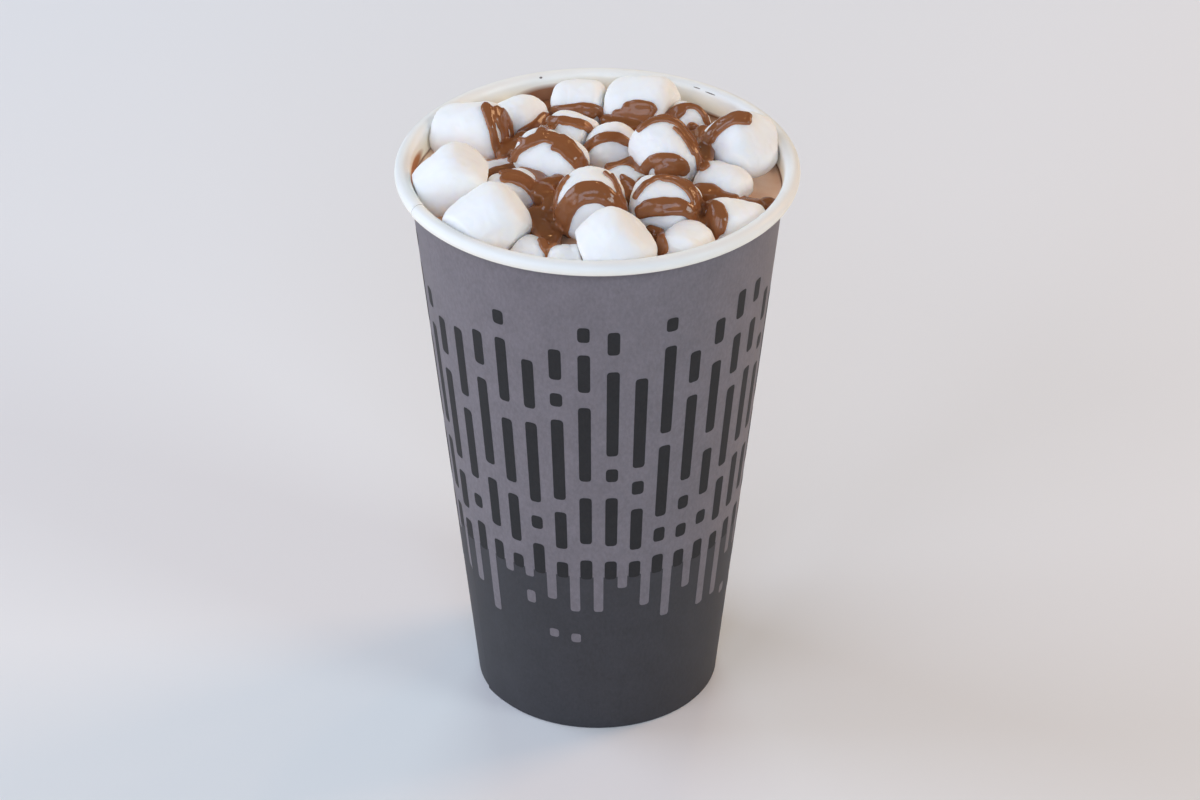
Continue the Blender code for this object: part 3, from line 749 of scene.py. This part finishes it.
def skin_reach(sweet, planes, ray):
    """From a marshmallow's centre to its skin, pressed in by its neighbours and the cup's wall."""
    reach = bare_reach(sweet, ray)
    for way, limit in planes:
        facing = ray.dot(way)
        if facing > LEAST_FACING:
            reach = softer_least(reach, limit / facing, PRESS_EASE)
    centre = centre_of(sweet)
    for _ in range(WALL_TRIES):
        point = centre + ray * reach
        room = inner_radius(point.z) - GAP - math.hypot(point.x, point.y)
        if room >= 0:
            break
        reach += room
    return reach


def marshmallow_mesh(name, sweet, planes):
    """The soft body with shallow creases, such as the dusted skin takes as it dries."""
    rays, faces = skin_rays(sweet, SKIN_CELLS)
    centre = centre_of(sweet)
    points = []
    for ray in rays:
        point = centre + ray * skin_reach(sweet, planes, ray)
        fold = noise.noise(point / WRINKLE_SIZE)
        points.append(point - ray * WRINKLE * (1 - abs(fold) * 3) ** 2)
    mesh = bpy.data.meshes.new(name)
    mesh.from_pydata(points, [], faces)
    mesh.shade_smooth()
    return mesh


# Marshmallow skin: whipped sugar dusted with fine starch, so it is matt and lets light a little way
# in. It is mottled, with pores and creases, and the starch is drawn far coarser than its grains.
MOTTLING = MM / 0.11
PORE = MM / 0.42
DUST = MM / 1.5
marshmallow_skin, tree, shader, where = new_material("dusted_marshmallow")
clouds = add_node(tree, "ShaderNodeTexNoise", {"Vector": where, "Scale": 1 / MOTTLING, "Detail": 2.0})
dust = add_node(tree, "ShaderNodeTexNoise", {"Vector": where, "Scale": 1 / DUST, "Detail": 3.0})
creases = add_node(tree, "ShaderNodeTexNoise", {"Vector": where, "Scale": 1 / PORE, "Detail": 2.0})
sugar = add_node(
    tree, "ShaderNodeMix", {0: clouds, 6: linear("#FAF7F1"), 7: linear("#FEFDFC")}, data_type="RGBA"
)
chalky = add_node(tree, "ShaderNodeMapRange", {"Value": dust, "To Min": 0.5, "To Max": 0.72})
relief = add_node(tree, "ShaderNodeMix", {0: 0.3, 2: creases, 3: dust}, data_type="FLOAT")
skin_bump = add_node(tree, "ShaderNodeBump", {"Height": relief, "Strength": 0.4, "Distance": 0.12 * MM})
set_inputs(tree, shader, {
    "Base Color": sugar,
    "Roughness": chalky,
    "IOR": 1.4,
    "Subsurface Weight": 0.7,
    "Subsurface Radius": (1.0, 0.9, 0.75),
    "Subsurface Scale": 2.4 * MM,
    "Normal": skin_bump,
})

skins = {}
heap_points = []
heap_faces = []
for number, sweet in enumerate(MARSHMALLOWS, start=1):
    mesh = marshmallow_mesh(f"soft_marshmallow_{number:02d}", sweet, contact_planes(sweet))
    points = [vertex.co.copy() for vertex in mesh.vertices]
    faces = [list(face.vertices) for face in mesh.polygons]
    skins[number] = BVHTree.FromPolygons(points, faces)
    heap_faces += [[i + len(heap_points) for i in face] for face in faces]
    heap_points += points
    piece = add_piece(mesh.name, mesh, "marshmallow", marshmallow_skin)
    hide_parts(f"marshmallow_{number:02d}")
heap = BVHTree.FromPolygons(heap_points, heap_faces)

# The drink, milky cocoa up to a finger below the lip. Its surface creeps up a little where it wets the
# cup and the marshmallows, and carries a fine froth.
DRINK_LEVEL = 129.0 * MM
DRINK_RINGS = 110
DRINK_SIDES = 200
CREEP = 0.45 * MM
CREEP_REACH = 0.7 * MM
CREEP_SEARCH = 3.0 * MM


def drink_height(x, y):
    """Height of the drink's surface, which creeps up the cup and each marshmallow that it wets."""
    place = Vector((x, y, DRINK_LEVEL))
    apart = inner_radius(DRINK_LEVEL) - math.hypot(x, y)
    skin_place, _, _, skin_apart = heap.find_nearest(place, CREEP_SEARCH)
    if skin_place is not None:
        apart = min(apart, skin_apart)
    return DRINK_LEVEL + CREEP * math.exp(-max(0.0, apart) / CREEP_REACH)


drink_bottom = base_top + GAP
bm = bmesh.new()
turns = [2 * math.pi * i / DRINK_SIDES for i in range(DRINK_SIDES)]
foot = inner_radius(drink_bottom)
rings = [[bm.verts.new((foot * math.cos(t), foot * math.sin(t), drink_bottom)) for t in turns]]
for ring in range(DRINK_RINGS, 0, -1):
    reach = inner_radius(DRINK_LEVEL) * ring / DRINK_RINGS
    row = []
    for t in turns:
        x = reach * math.cos(t)
        y = reach * math.sin(t)
        row.append(bm.verts.new((x, y, drink_height(x, y))))
    rings.append(row)
join_rings(bm, rings)
bm.faces.new(rings[0])
middle = bm.verts.new((0, 0, drink_height(0, 0)))
for i in range(DRINK_SIDES):
    bm.faces.new((rings[-1][i], rings[-1][(i + 1) % DRINK_SIDES], middle))
drink_mesh = mesh_from_bmesh("milky_cocoa", bm)

# Milky cocoa: an opaque brown liquid with a paler froth of fine bubbles in patches. Towards the back
# the sauce has run into it and made it darker.
FROTH_PATCH = MM / 0.09
BUBBLE = MM / 1.4
SAUCE_RUN = (22.0 * MM, 34.0 * MM)
cocoa, tree, shader, where = new_material("milky_cocoa")
clouds = add_node(
    tree, "ShaderNodeTexNoise", {"Vector": where, "Scale": 1 / FROTH_PATCH, "Detail": 4.0}
)
bubbles = add_node(tree, "ShaderNodeTexVoronoi", {"Vector": where, "Scale": 1 / BUBBLE})
froth = add_node(tree, "ShaderNodeValToRGB", {"Fac": clouds})
froth.color_ramp.elements[0].position = 0.35
froth.color_ramp.elements[0].color = linear("#E6B48E")
froth.color_ramp.elements[1].position = 0.65
froth.color_ramp.elements[1].color = linear("#F8D5B8")
place = add_node(tree, "ShaderNodeSeparateXYZ", {"Vector": where})
run_in = add_node(
    tree, "ShaderNodeMapRange",
    {"Value": place.outputs["Y"], "From Min": SAUCE_RUN[0], "From Max": SAUCE_RUN[1]},
)
stained = add_node(tree, "ShaderNodeMix", {0: run_in, 6: froth, 7: linear("#A97450")}, data_type="RGBA")
ripple = add_node(tree, "ShaderNodeBump", {"Height": bubbles, "Strength": 0.4, "Distance": 0.15 * MM})
set_inputs(tree, shader, {"Base Color": stained, "Roughness": 0.3, "Normal": ripple})
milky_cocoa = add_piece("milky_cocoa", drink_mesh, "cocoa", cocoa)
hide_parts("hot_chocolate")

# The chocolate sauce, poured in thick ropes over the heap: it lies on the marshmallows with a full
# round edge, runs together between them, and stands in pools on the drink.
SAUCE_STEP = 0.55 * MM
SAUCE_CELLS = 18
SAUCE_VOXEL = 0.33 * MM
SAUCE_ROOT = 0.8 * MM
THINNEST = 0.45 * MM
THICKEST = 1.15 * MM
DEPTH_PER_WIDTH = 0.2
FULL_EDGE = 0.8
END_START = 0.06
END_WIDTH = 0.2
SWELL = 0.22
SWELL_STEP = 0.1
SWELL_SEED = 3.7
THREAD_WIDTH = 1.15 * MM
THREAD_RELIEF = 0.3
THREAD_DRIFT = 0.02
HEAP_CURVE = 7.0 * MM
HOLD_REACH = 1.3 * MM
LUMP_SIZE = 1.9 * MM
LUMP_RISE = 0.14 * MM
DEEP_SAUCE = 1.6 * MM
THIN_SAUCE = "#B0744A"
FULL_SAUCE = "#8C5736"
DEEP_BROWN = "#875432"

# A strand is drawn as it is seen: its width, the marshmallow that it lies on, and a course of (x, y)
# spots on the plane of the lip, in millimetres. A spot that spans a gap has its own height as well.
STRANDS = (
    (2.4, 1, ((-25.5, 26.5), (-24.4, 19.9), (-23.4, 13), (-22.4, 6.2), (-21.8, 1.2))),
    (3.8, 1, ((-23.4, 25.5), (-22, 19.9), (-20.9, 13.5), (-20.6, 7.1), (-20.7, 2.5))),
    (2.4, 1, ((-22, 24.1), (-20.4, 19.5), (-19.4, 13.9), (-19.3, 8))),
    (2.9, 4, ((-11.2, 21.3), (-13.4, 17.1), (-15.8, 13.9), (-18, 10.7))),
    (2, 4, ((-12.9, 15.3), (-15.5, 11.2), (-17.7, 8))),
    (1.3, 7, ((-11.1, 19), (-9.1, 19.5), (-6.6, 19.5), (-3.9, 18.3), (-1.7, 15.5), (-0.3, 12.1))),
    (1.3, 7, ((-8.4, 17.6), (-5.7, 17.1), (-3, 15.5), (-1, 12.1))),
    (1.1, 7, ((-11.6, 17.1), (-10, 18.1), (-8, 18.5), (-5.3, 18.5), (-2.6, 16.7))),
    (1.3, 8, ((-20.3, 3, 132.5), (-17.9, 6.6, 133.5), (-15.7, 9.3), (-13.5, 12.1),
        (-11.5, 15.1, 136.5), (-10, 17.6, 136.5))),
    (1.1, 8, ((-19.8, 1.2, 132.5), (-17.4, 4.8), (-14.8, 8.9), (-12.6, 12.1), (-10.6, 15.3, 136.5),
        (-9.1, 17.6, 136.8))),
    (1.3, 8, ((-19.2, 4.4, 133.5), (-16.8, 8.4, 134.5), (-14.4, 12.1, 135.5), (-12.2, 15.3, 136),
        (-10.4, 18.1, 136.3))),
    (2.2, 8, ((-18.5, -0.6), (-17.9, 3.9), (-16.1, 7.1), (-13.7, 9.3), (-11.3, 10.3), (-9, 8.9))),
    (1.8, 8, ((-15.9, 9.3), (-13.5, 11.6), (-11.1, 12.5), (-8.8, 11.6))),
    (2.4, 8, ((-10.4, 9.8), (-7.9, 8), (-5.9, 3.9), (-4.1, -0.2), (-2.7, -4.2))),
    (2.2, 8, ((-8.4, 11.6), (-6.3, 8.9), (-4.5, 4.4), (-3, -0.2), (-1.8, -4.2))),
    (1.1, 8, ((-10.6, 6.6), (-8.3, 4.8), (-6.3, 0.7), (-4.5, -3.3))),
    (2.7, 8, ((-17.5, -4.6), (-15.3, -7.3), (-12.6, -9), (-10, -10.8), (-7.3, -10.8))),
    (2.2, 8, ((-16.1, -9), (-13.5, -11.7), (-10.4, -13.4))),
    (2.4, 5, ((-10.5, 23.2), (-8, 23.6), (-5.1, 24.6), (-2.1, 25), (0.1, 23.6), (1.5, 21.3, 131.7))),
    (2, 5, ((-9.3, 20.4), (-6.2, 21.3), (-3, 21.8), (-0.3, 20.8))),
    (2.2, 5, ((0.1, 23.6), (1, 20.4, 131.5), (1.9, 17.1, 131))),
    (3.1, 6, ((5.6, 24.1), (7.4, 25), (9.6, 25.5), (11.9, 24.6), (13, 21.8))),
    (2.7, 6, ((3.3, 21.3), (6.2, 21.8), (9.6, 22.2), (12.8, 21.3))),
    (2.4, 6, ((2.4, 19.5), (5.5, 18.5), (9.6, 18.5), (13.2, 19.5))),
    (1.8, 9, ((-3.2, 3.9), (-2.1, 7.5), (-0.1, 10.7), (2.1, 12.1), (4.2, 12.1), (6.2, 9.8),
        (7.9, 6.2))),
    (1.3, 9, ((-2.8, 3), (-1.4, 6.6), (0.4, 8.9), (2.4, 10.3), (4.6, 9.8), (6.8, 7.1))),
    (2, 10, ((8.9, 13), (10.2, 15.8), (12.5, 18.5), (15.2, 19), (17.7, 17.1), (19.6, 13), (21.1, 8),
        (22.1, 2.5), (22.4, -3.7))),
    (1.6, 10, ((11.4, 18.1), (14.1, 20.2), (16.8, 19.5), (19.2, 15.8), (20.9, 10.7), (22.2, 5.3))),
    (1.1, 10, ((16.7, 15.8), (18.7, 12.1), (20.2, 7.5), (21.2, 2.5))),
    (2, 10, ((21.6, 12.5), (22.7, 8), (23.2, 3.4), (23.4, -1.5))),
    (2, 11, ((15, 19.5, 133), (16.8, 22.7), (19.1, 25), (21.2, 25.5), (23, 23.9), (24.2, 20.4),
        (24.8, 16.7))),
    (2.2, 11, ((16.8, 18.5), (18.4, 21.8), (20, 24.1))),
    (2.7, 11, ((19.9, 16.7), (21.7, 14.8), (23.4, 12.1))),
    (1.6, 11, ((18.5, 14.4), (20.3, 11.6), (22, 8))),
    (2.4, 12, ((24.5, 10.7), (24.6, 6.2), (24.8, 1.6))),
    (1.3, 12, ((24.1, 13.5), (24.2, 8.9), (24.4, 4.4))),
    (2.4, 12, ((25.3, 8), (26.1, 11.6), (27.7, 14.8), (29.8, 17.6), (32.3, 18.8), (34.8, 17.6))),
    (2.7, 12, ((24.5, 9.8), (25.5, 13.5), (27.3, 17.4), (29.7, 20.2), (32.4, 21.1), (34.8, 19.5))),
    (1.8, 13, ((22.4, -4.6), (23.6, -2.4), (25.1, -1))),
    (2.7, 13, ((21.9, -11.3), (23.8, -12.1), (26, -13.4), (27.7, -16.1), (29.3, -18.7))),
    (2.2, 13, ((21.2, -13.4), (23.7, -15.6), (26.3, -17.4), (28.5, -19.5))),
    (2.9, 10, ((10.5, -6), (11.2, -1.5), (13.7, 1.2), (16.5, 1.2), (18.7, -1.9), (19.3, -6))),
    (2.4, 10, ((12.7, -5.1), (15.6, -3.3), (18.5, -4.6))),
    (1.6, 10, ((10, -6.8), (10.7, -2.8), (12.8, 0.3), (15.2, 1.2))),
    (1.8, 10, ((10.1, -3.7), (9.4, -7.3), (9.4, -11.3, 132.5))),
    (1.6, 17, ((8, -16.9), (9.6, -12.1), (11.3, -9), (13.8, -7.1), (16.2, -7.3), (18.8, -9.5),
        (20.7, -13.4), (21.7, -18.7), (22.3, -24.3))),
    (1.3, 17, ((13.8, -8.2), (16.2, -8.6), (18.6, -10.8), (20.3, -14.8), (21.3, -20), (22, -24.7))),
    (1.3, 17, ((15.1, -6), (17.8, -6.8), (19.9, -9.5), (21.6, -13.9), (22.6, -19.5))),
    (2.4, 17, ((8.4, -23), (9.9, -20.4), (11.9, -19.1), (14.5, -18.7), (17.1, -18.2), (19.3, -20),
        (20.8, -23.4))),
    (2, 17, ((8.4, -23.9), (10.6, -22.6), (13.6, -22.1), (16.7, -22.1), (19.3, -22.6), (21.4, -25.6))),
    (1.3, 17, ((9.5, -18.7), (11.5, -17.6), (14.1, -16.9), (16.7, -16.7), (18.9, -17.8))),
    (3.1, 14, ((26, -21.3), (26.1, -25.6), (25.4, -30.3), (24.2, -34.1))),
    (3.1, 14, ((23.8, -23.9), (23.7, -27.7), (23.9, -31.6))),
    (1.6, 14, ((25.2, -20), (26.9, -20.4), (27.7, -23), (27.4, -27.3), (26.2, -32))),
    (2.7, 15, ((11.8, -31.1, 132), (13.5, -32.4), (14.3, -35.8), (14.1, -40))),
    (2, 15, ((13.3, -34.1), (13.7, -37.5), (13.4, -40.8))),
    (2.7, 18, ((-7.4, -36.6), (-7.6, -29.4), (-7, -22.1), (-5.3, -16.1), (-2.9, -12.4), (-0.5, -11.9),
        (1.9, -13), (4.1, -16.9), (6, -22.1), (7.1, -25.6))),
    (2.4, 18, ((-6.5, -34.5), (-6.8, -27.7), (-5.9, -22.1), (-4.2, -17.8), (-1.8, -16.1), (0.6, -16.5),
        (3, -18.7), (5.1, -22.6))),
    (1.6, 18, ((-8.5, -32.4), (-8.5, -25.6), (-7.7, -19.1), (-6, -13.4), (-3.6, -10.4), (-1.2, -9.9),
        (1.5, -10.8))),
    (2.2, 18, ((-10.1, -20.4), (-9.7, -15.6), (-8.4, -10.8), (-6.7, -7.7))),
    (2, 18, ((-8.8, -20), (-8.6, -14.8), (-7.5, -9.9), (-5.8, -6.4))),
    (1.3, 18, ((1.2, -4.6), (3, -7.7), (4.3, -12.6), (5.4, -17.4), (6.7, -23.4))),
    (1.1, 18, ((2.8, -5.5), (4.1, -9.9), (5, -14.8), (6, -20))),
    (1.8, 24, ((5, -6.4), (7, -8.6), (8.5, -12.1))),
    (2.4, 21, ((-21.6, -8.2), (-19.4, -7.7), (-17, -9), (-14.8, -12.1), (-13.4, -16.1), (-12.9, -20))),
    (1.3, 21, ((-21.9, -5.5), (-19.1, -4.6), (-16.4, -6), (-14.1, -9.5), (-12.5, -14.3))),
    (1.1, 21, ((-21.4, -6.4), (-18.6, -5.7), (-15.9, -7.3), (-13.9, -11.3))),
    (1.6, 20, ((-10.3, -38.7), (-9.7, -37), (-8.4, -36.2))),
    (2, 19, ((-12.3, -34.1), (-11.2, -37.5), (-10.5, -41.2))),
    (1.8, 22, ((-24.5, -9.5), (-23.4, -6), (-21.5, -3.3), (-19.5, -2.4), (-17.5, -2.8))),
    (1.6, 23, ((-9.4, -20), (-10.1, -22.6), (-10.5, -25.2))),
    (1.8, 11, ((23.6, 21.8), (24.4, 18.5), (25, 15.3))),
    (2.2, 18, ((-9.7, -16.1), (-10.1, -20.4), (-10.3, -23.9))),
    (3.6, 14, ((25.2, -19.5), (24.9, -23.4), (24.6, -27.3), (24.3, -31.6))),
    (2.2, 14, ((23.4, -20), (25.2, -18.7), (26.7, -19.5), (27.3, -22.1))),
)

# A filling is drawn in the same way, with the height of its top. Its foot is in the drink.
FILLINGS = (
    (5.3, 133, ((-15.1, 13), (-17.3, 8.9), (-19.4, 4.4))),
    (3.6, 132.5, ((-20, 9.8), (-20.3, 5.3), (-21.6, 2.1))),
    (4, 132.5, ((1, 20.4), (4.2, 18.1), (7.3, 16.7), (10.9, 18.1))),
    (3.1, 133, ((10, 18.1), (13, 20.4), (15.9, 22.2), (18.2, 24.6))),
    (2, 134, ((1.5, -2.8), (3.7, -1.9), (6.1, -0.6), (8.6, 2.1))),
    (4, 134.8, ((23.5, 15.8), (24.3, 10.7), (24.4, 5.3), (23.4, -0.6))),
    (2.7, 134, ((21.2, 13.5), (22.4, 7.5), (22.8, 1.6))),
    (3.1, 133.5, ((9.4, -7.3), (11.1, -9.9), (13.3, -8.2))),
    (5.3, 132.8, ((20.3, -12.6), (23.6, -12.6), (26.8, -13.9))),
    (4, 132, ((25.1, -14.3), (28.1, -16.1), (31.1, -17.4))),
    (4.4, 130.4, ((30.7, -18.2), (33.7, -19.1), (36.8, -18.7))),
    (3.8, 129.9, ((34.8, -18.2), (37, -18.2), (38.8, -16.9))),
    (4, 132.5, ((21.7, -18.2), (22.3, -23.9), (23.1, -28.2))),
    (2.7, 131.5, ((19.7, -24.3), (21.8, -26.4), (23.4, -30.3))),
    (1.8, 132.5, ((10.5, -28.6), (12.7, -29.9), (14.6, -30.7))),
    (3.8, 133.5, ((4.5, -9), (6.5, -13), (7.6, -17.8))),
    (2.7, 133, ((8.1, -0.2), (8.7, -4.6), (8.9, -9))),
    (4.9, 133.5, ((-17.1, -2.8), (-14.4, -6.4), (-12.4, -10.8), (-11.2, -16.1))),
    (3.6, 134, ((-12.2, -8.2), (-10, -9), (-7.8, -6.4))),
    (3.6, 132.8, ((-10.8, -12.6), (-10.3, -17.8), (-11.2, -22.1))),
    (4.9, 131.8, ((-12.5, -20), (-13.1, -25.6), (-11.7, -30.3), (-9.9, -34.5))),
    (3.1, 131.5, ((-9.8, -27.3), (-8.9, -32.4), (-9.7, -37.5))),
    (2.2, 131.6, ((-11.9, -34.1), (-10.8, -37.5), (-10.5, -40.8))),
    (2.2, 132, ((-24.1, -4.6), (-21.5, -3.7), (-18.9, -2.8))),
    (1.8, 131.8, ((-25, -3.7), (-24.3, -7.3), (-24.4, -10.8))),
    (3.6, 131.4, ((-12.3, -20.4), (-10.7, -23.9), (-9.6, -28.2))),
    (6.5, 129.7, ((-19.8, 12.6), (-16.8, 5.7), (-19.8, -0.2))),
    (6, 129.5, ((-11.8, -7.5), (-10.9, -15.4), (-12.8, -24.3), (-9.9, -35.1))),
    (8, 129.9, ((0, 21.9), (6.9, 17.9), (18.8, 18.9), (23.7, 10), (23.7, -2.8))),
    (6, 129.5, ((21.7, -14.4), (28.7, -17.4), (35.6, -20.3))),
    (6, 130, ((5.9, -14.5), (8.9, -8.6))),
    (4.5, 130, ((8.9, -27.4), (13.8, -38.3))),
)


def at_height(x, y, height):
    """Where the sight line through a spot on the lip's plane passes a height, all in millimetres."""
    eye = camera.matrix_world.translation
    way = Vector((x, y, CUP_HEIGHT / MM)) * MM - eye
    return eye + way * ((height * MM - eye.z) / way.z)


def on_skin(x, y, number):
    """The point of a marshmallow's skin on that sight line, or the nearest to it at the outline."""
    eye = camera.matrix_world.translation
    way = (Vector((x, y, CUP_HEIGHT / MM)) * MM - eye).normalized()
    place = skins[number].ray_cast(eye, way)[0]
    if place is None:
        level_with = (centre_of(MARSHMALLOWS[number - 1]) - eye).dot(way)
        place = skins[number].find_nearest(eye + way * level_with)[0]
    return place


def through(points, step):
    """Points close together on a smooth curve through the given ones."""
    run = [points[0], *points, points[-1]]
    made = []
    for before, start, end, after in zip(run, run[1:], run[2:], run[3:]):
        count = max(1, math.ceil((end - start).length / step))
        for i in range(count):
            t = i / count
            lead = (end - before) * 0.5
            trail = (after - start) * 0.5
            made.append(
                start * (2 * t**3 - 3 * t**2 + 1) + lead * (t**3 - 2 * t**2 + t)
                + end * (3 * t**2 - 2 * t**3) + trail * (t**3 - t**2)
            )
    return made + [points[-1]]


def evened(vectors, passes):
    """Vectors along a strand, each averaged with its neighbours a few times over."""
    for _ in range(passes):
        ends = [vectors[0], *vectors, vectors[-1]]
        vectors = [(a + b * 2 + c) / 4 for a, b, c in zip(ends, ends[1:], ends[2:])]
    return vectors


def ends_in(spots, width):
    """Share of the full width at each spot: rounded in over half a width at both ends."""
    gone = [0.0]
    for before, after in zip(spots, spots[1:]):
        gone.append(gone[-1] + (after - before).length)
    shares = []
    for length in gone:
        past = min(length, gone[-1] - length) / (width / 2)
        shares.append(math.sqrt(max(END_WIDTH**2, 1 - (1 - min(1.0, past + END_START)) ** 2)))
    return shares


def add_rope(bm, spots, ups, width, seed, laid):
    """A closed rope of sauce along the spots. A laid one bends with the skin that it lies on."""
    depth = min(THICKEST, THINNEST + DEPTH_PER_WIDTH * width)
    threads = max(1, round(width / THREAD_WIDTH))
    rings = []
    for i, (spot, up, share) in enumerate(zip(spots, ups, ends_in(spots, width))):
        way = (spots[min(i + 1, len(spots) - 1)] - spots[max(i - 1, 0)]).normalized()
        across = way.cross(up).normalized()
        up = across.cross(way)
        swell = 1 + SWELL * noise.noise(Vector((i * SWELL_STEP, seed * SWELL_SEED, 0.0)))
        root = SAUCE_ROOT if laid else spot.z - DRINK_LEVEL + SAUCE_ROOT
        ring = []
        for k in range(SAUCE_CELLS):
            turn = 2 * math.pi * k / SAUCE_CELLS
            side = math.cos(turn) * width / 2 * share * swell
            if math.sin(turn) > 0:
                phase = threads * math.pi * (math.cos(turn) + 1 + THREAD_DRIFT * i)
                ridge = 1 + THREAD_RELIEF * math.cos(phase) if laid else 1.0
                lift = depth * share * swell * math.sin(turn) ** FULL_EDGE * ridge
            else:
                lift = root * math.sin(turn)
            bend = side * side / (2 * HEAP_CURVE) if laid else 0.0
            ring.append(bm.verts.new(spot + across * side + up * (lift - bend)))
        rings.append(ring)
    join_rings(bm, rings)
    bm.faces.new(rings[0])
    bm.faces.new(rings[-1])


bm = bmesh.new()
for seed, (width, number, course) in enumerate(STRANDS):
    places = [at_height(*spot) if len(spot) == 3 else on_skin(*spot, number) for spot in course]
    spots = through(places, SAUCE_STEP)
    ups = []
    for i, spot in enumerate(spots):
        place, normal, _, _ = heap.find_nearest(spot, HOLD_REACH)
        spots[i] = spot if place is None else place
        ups.append(Vector((0, 0, 1)) if place is None else normal)
    add_rope(bm, evened(spots, 2), evened(ups, 3), width * MM, seed, laid=True)
for seed, (width, top, course) in enumerate(FILLINGS, start=len(STRANDS)):
    spots = evened(through([at_height(*spot, top) for spot in course], SAUCE_STEP), 2)
    add_rope(bm, spots, [Vector((0, 0, 1))] * len(spots), width * MM, seed, laid=False)
holder = bpy.data.objects.new("sauce_ropes", mesh_from_bmesh("sauce_ropes", bm))
bpy.context.scene.collection.objects.link(holder)
merge = holder.modifiers.new("merge", "REMESH")
merge.mode = "VOXEL"
merge.voxel_size = SAUCE_VOXEL
settle = holder.modifiers.new("settle", "SMOOTH")
settle.factor = 0.5
settle.iterations = 3
sauce_mesh = plain_mesh("chocolate_sauce", holder)
outward = [vertex.normal.copy() for vertex in sauce_mesh.vertices]
cover = sauce_mesh.attributes.new("cover", "FLOAT", "POINT")
for vertex, normal, here in zip(sauce_mesh.vertices, outward, cover.data):
    vertex.co += normal * LUMP_RISE * noise.noise(vertex.co / LUMP_SIZE)
    skin_place, _, _, skin_apart = heap.find_nearest(vertex.co, DEEP_SAUCE)
    here.value = 1.0 if skin_place is None else skin_apart / DEEP_SAUCE
sauce_mesh.shade_smooth()

# Chocolate sauce: a thick syrup of cocoa and sugar, glossy and nearly opaque. Where it is thin at its
# edges the white below shines through, so it is paler and warmer there.
SYRUP_CLOUD = MM / 0.26
FLOW_RIPPLE = MM / 0.6
sauce, tree, shader, where = new_material("chocolate_sauce")
clouds = add_node(
    tree, "ShaderNodeTexNoise", {"Vector": where, "Scale": 1 / SYRUP_CLOUD, "Detail": 3.0}
)
thickness = add_node(tree, "ShaderNodeAttribute", attribute_name="cover")
uneven = add_node(
    tree, "ShaderNodeMath", {0: clouds, 1: 0.5, 2: thickness.outputs["Fac"]}, operation="MULTIPLY_ADD"
)
syrup = add_node(tree, "ShaderNodeValToRGB", {"Fac": uneven})
syrup.color_ramp.elements[0].position = 0.25
syrup.color_ramp.elements[0].color = linear(THIN_SAUCE)
syrup.color_ramp.elements[1].position = 0.6
syrup.color_ramp.elements[1].color = linear(FULL_SAUCE)
syrup.color_ramp.elements.new(1.0).color = linear(DEEP_BROWN)
gloss = add_node(tree, "ShaderNodeMapRange", {"Value": clouds, "To Min": 0.06, "To Max": 0.18})
flow = add_node(tree, "ShaderNodeTexNoise", {"Vector": where, "Scale": 1 / FLOW_RIPPLE, "Detail": 2.0})
ripple = add_node(tree, "ShaderNodeBump", {"Height": flow, "Strength": 0.3, "Distance": 0.2 * MM})
set_inputs(tree, shader, {
    "Base Color": syrup,
    "Roughness": gloss,
    "IOR": 1.5,
    "Specular IOR Level": 0.4,
    "Normal": ripple,
})
add_piece("chocolate_sauce", sauce_mesh, "chocolate_sauce", sauce)
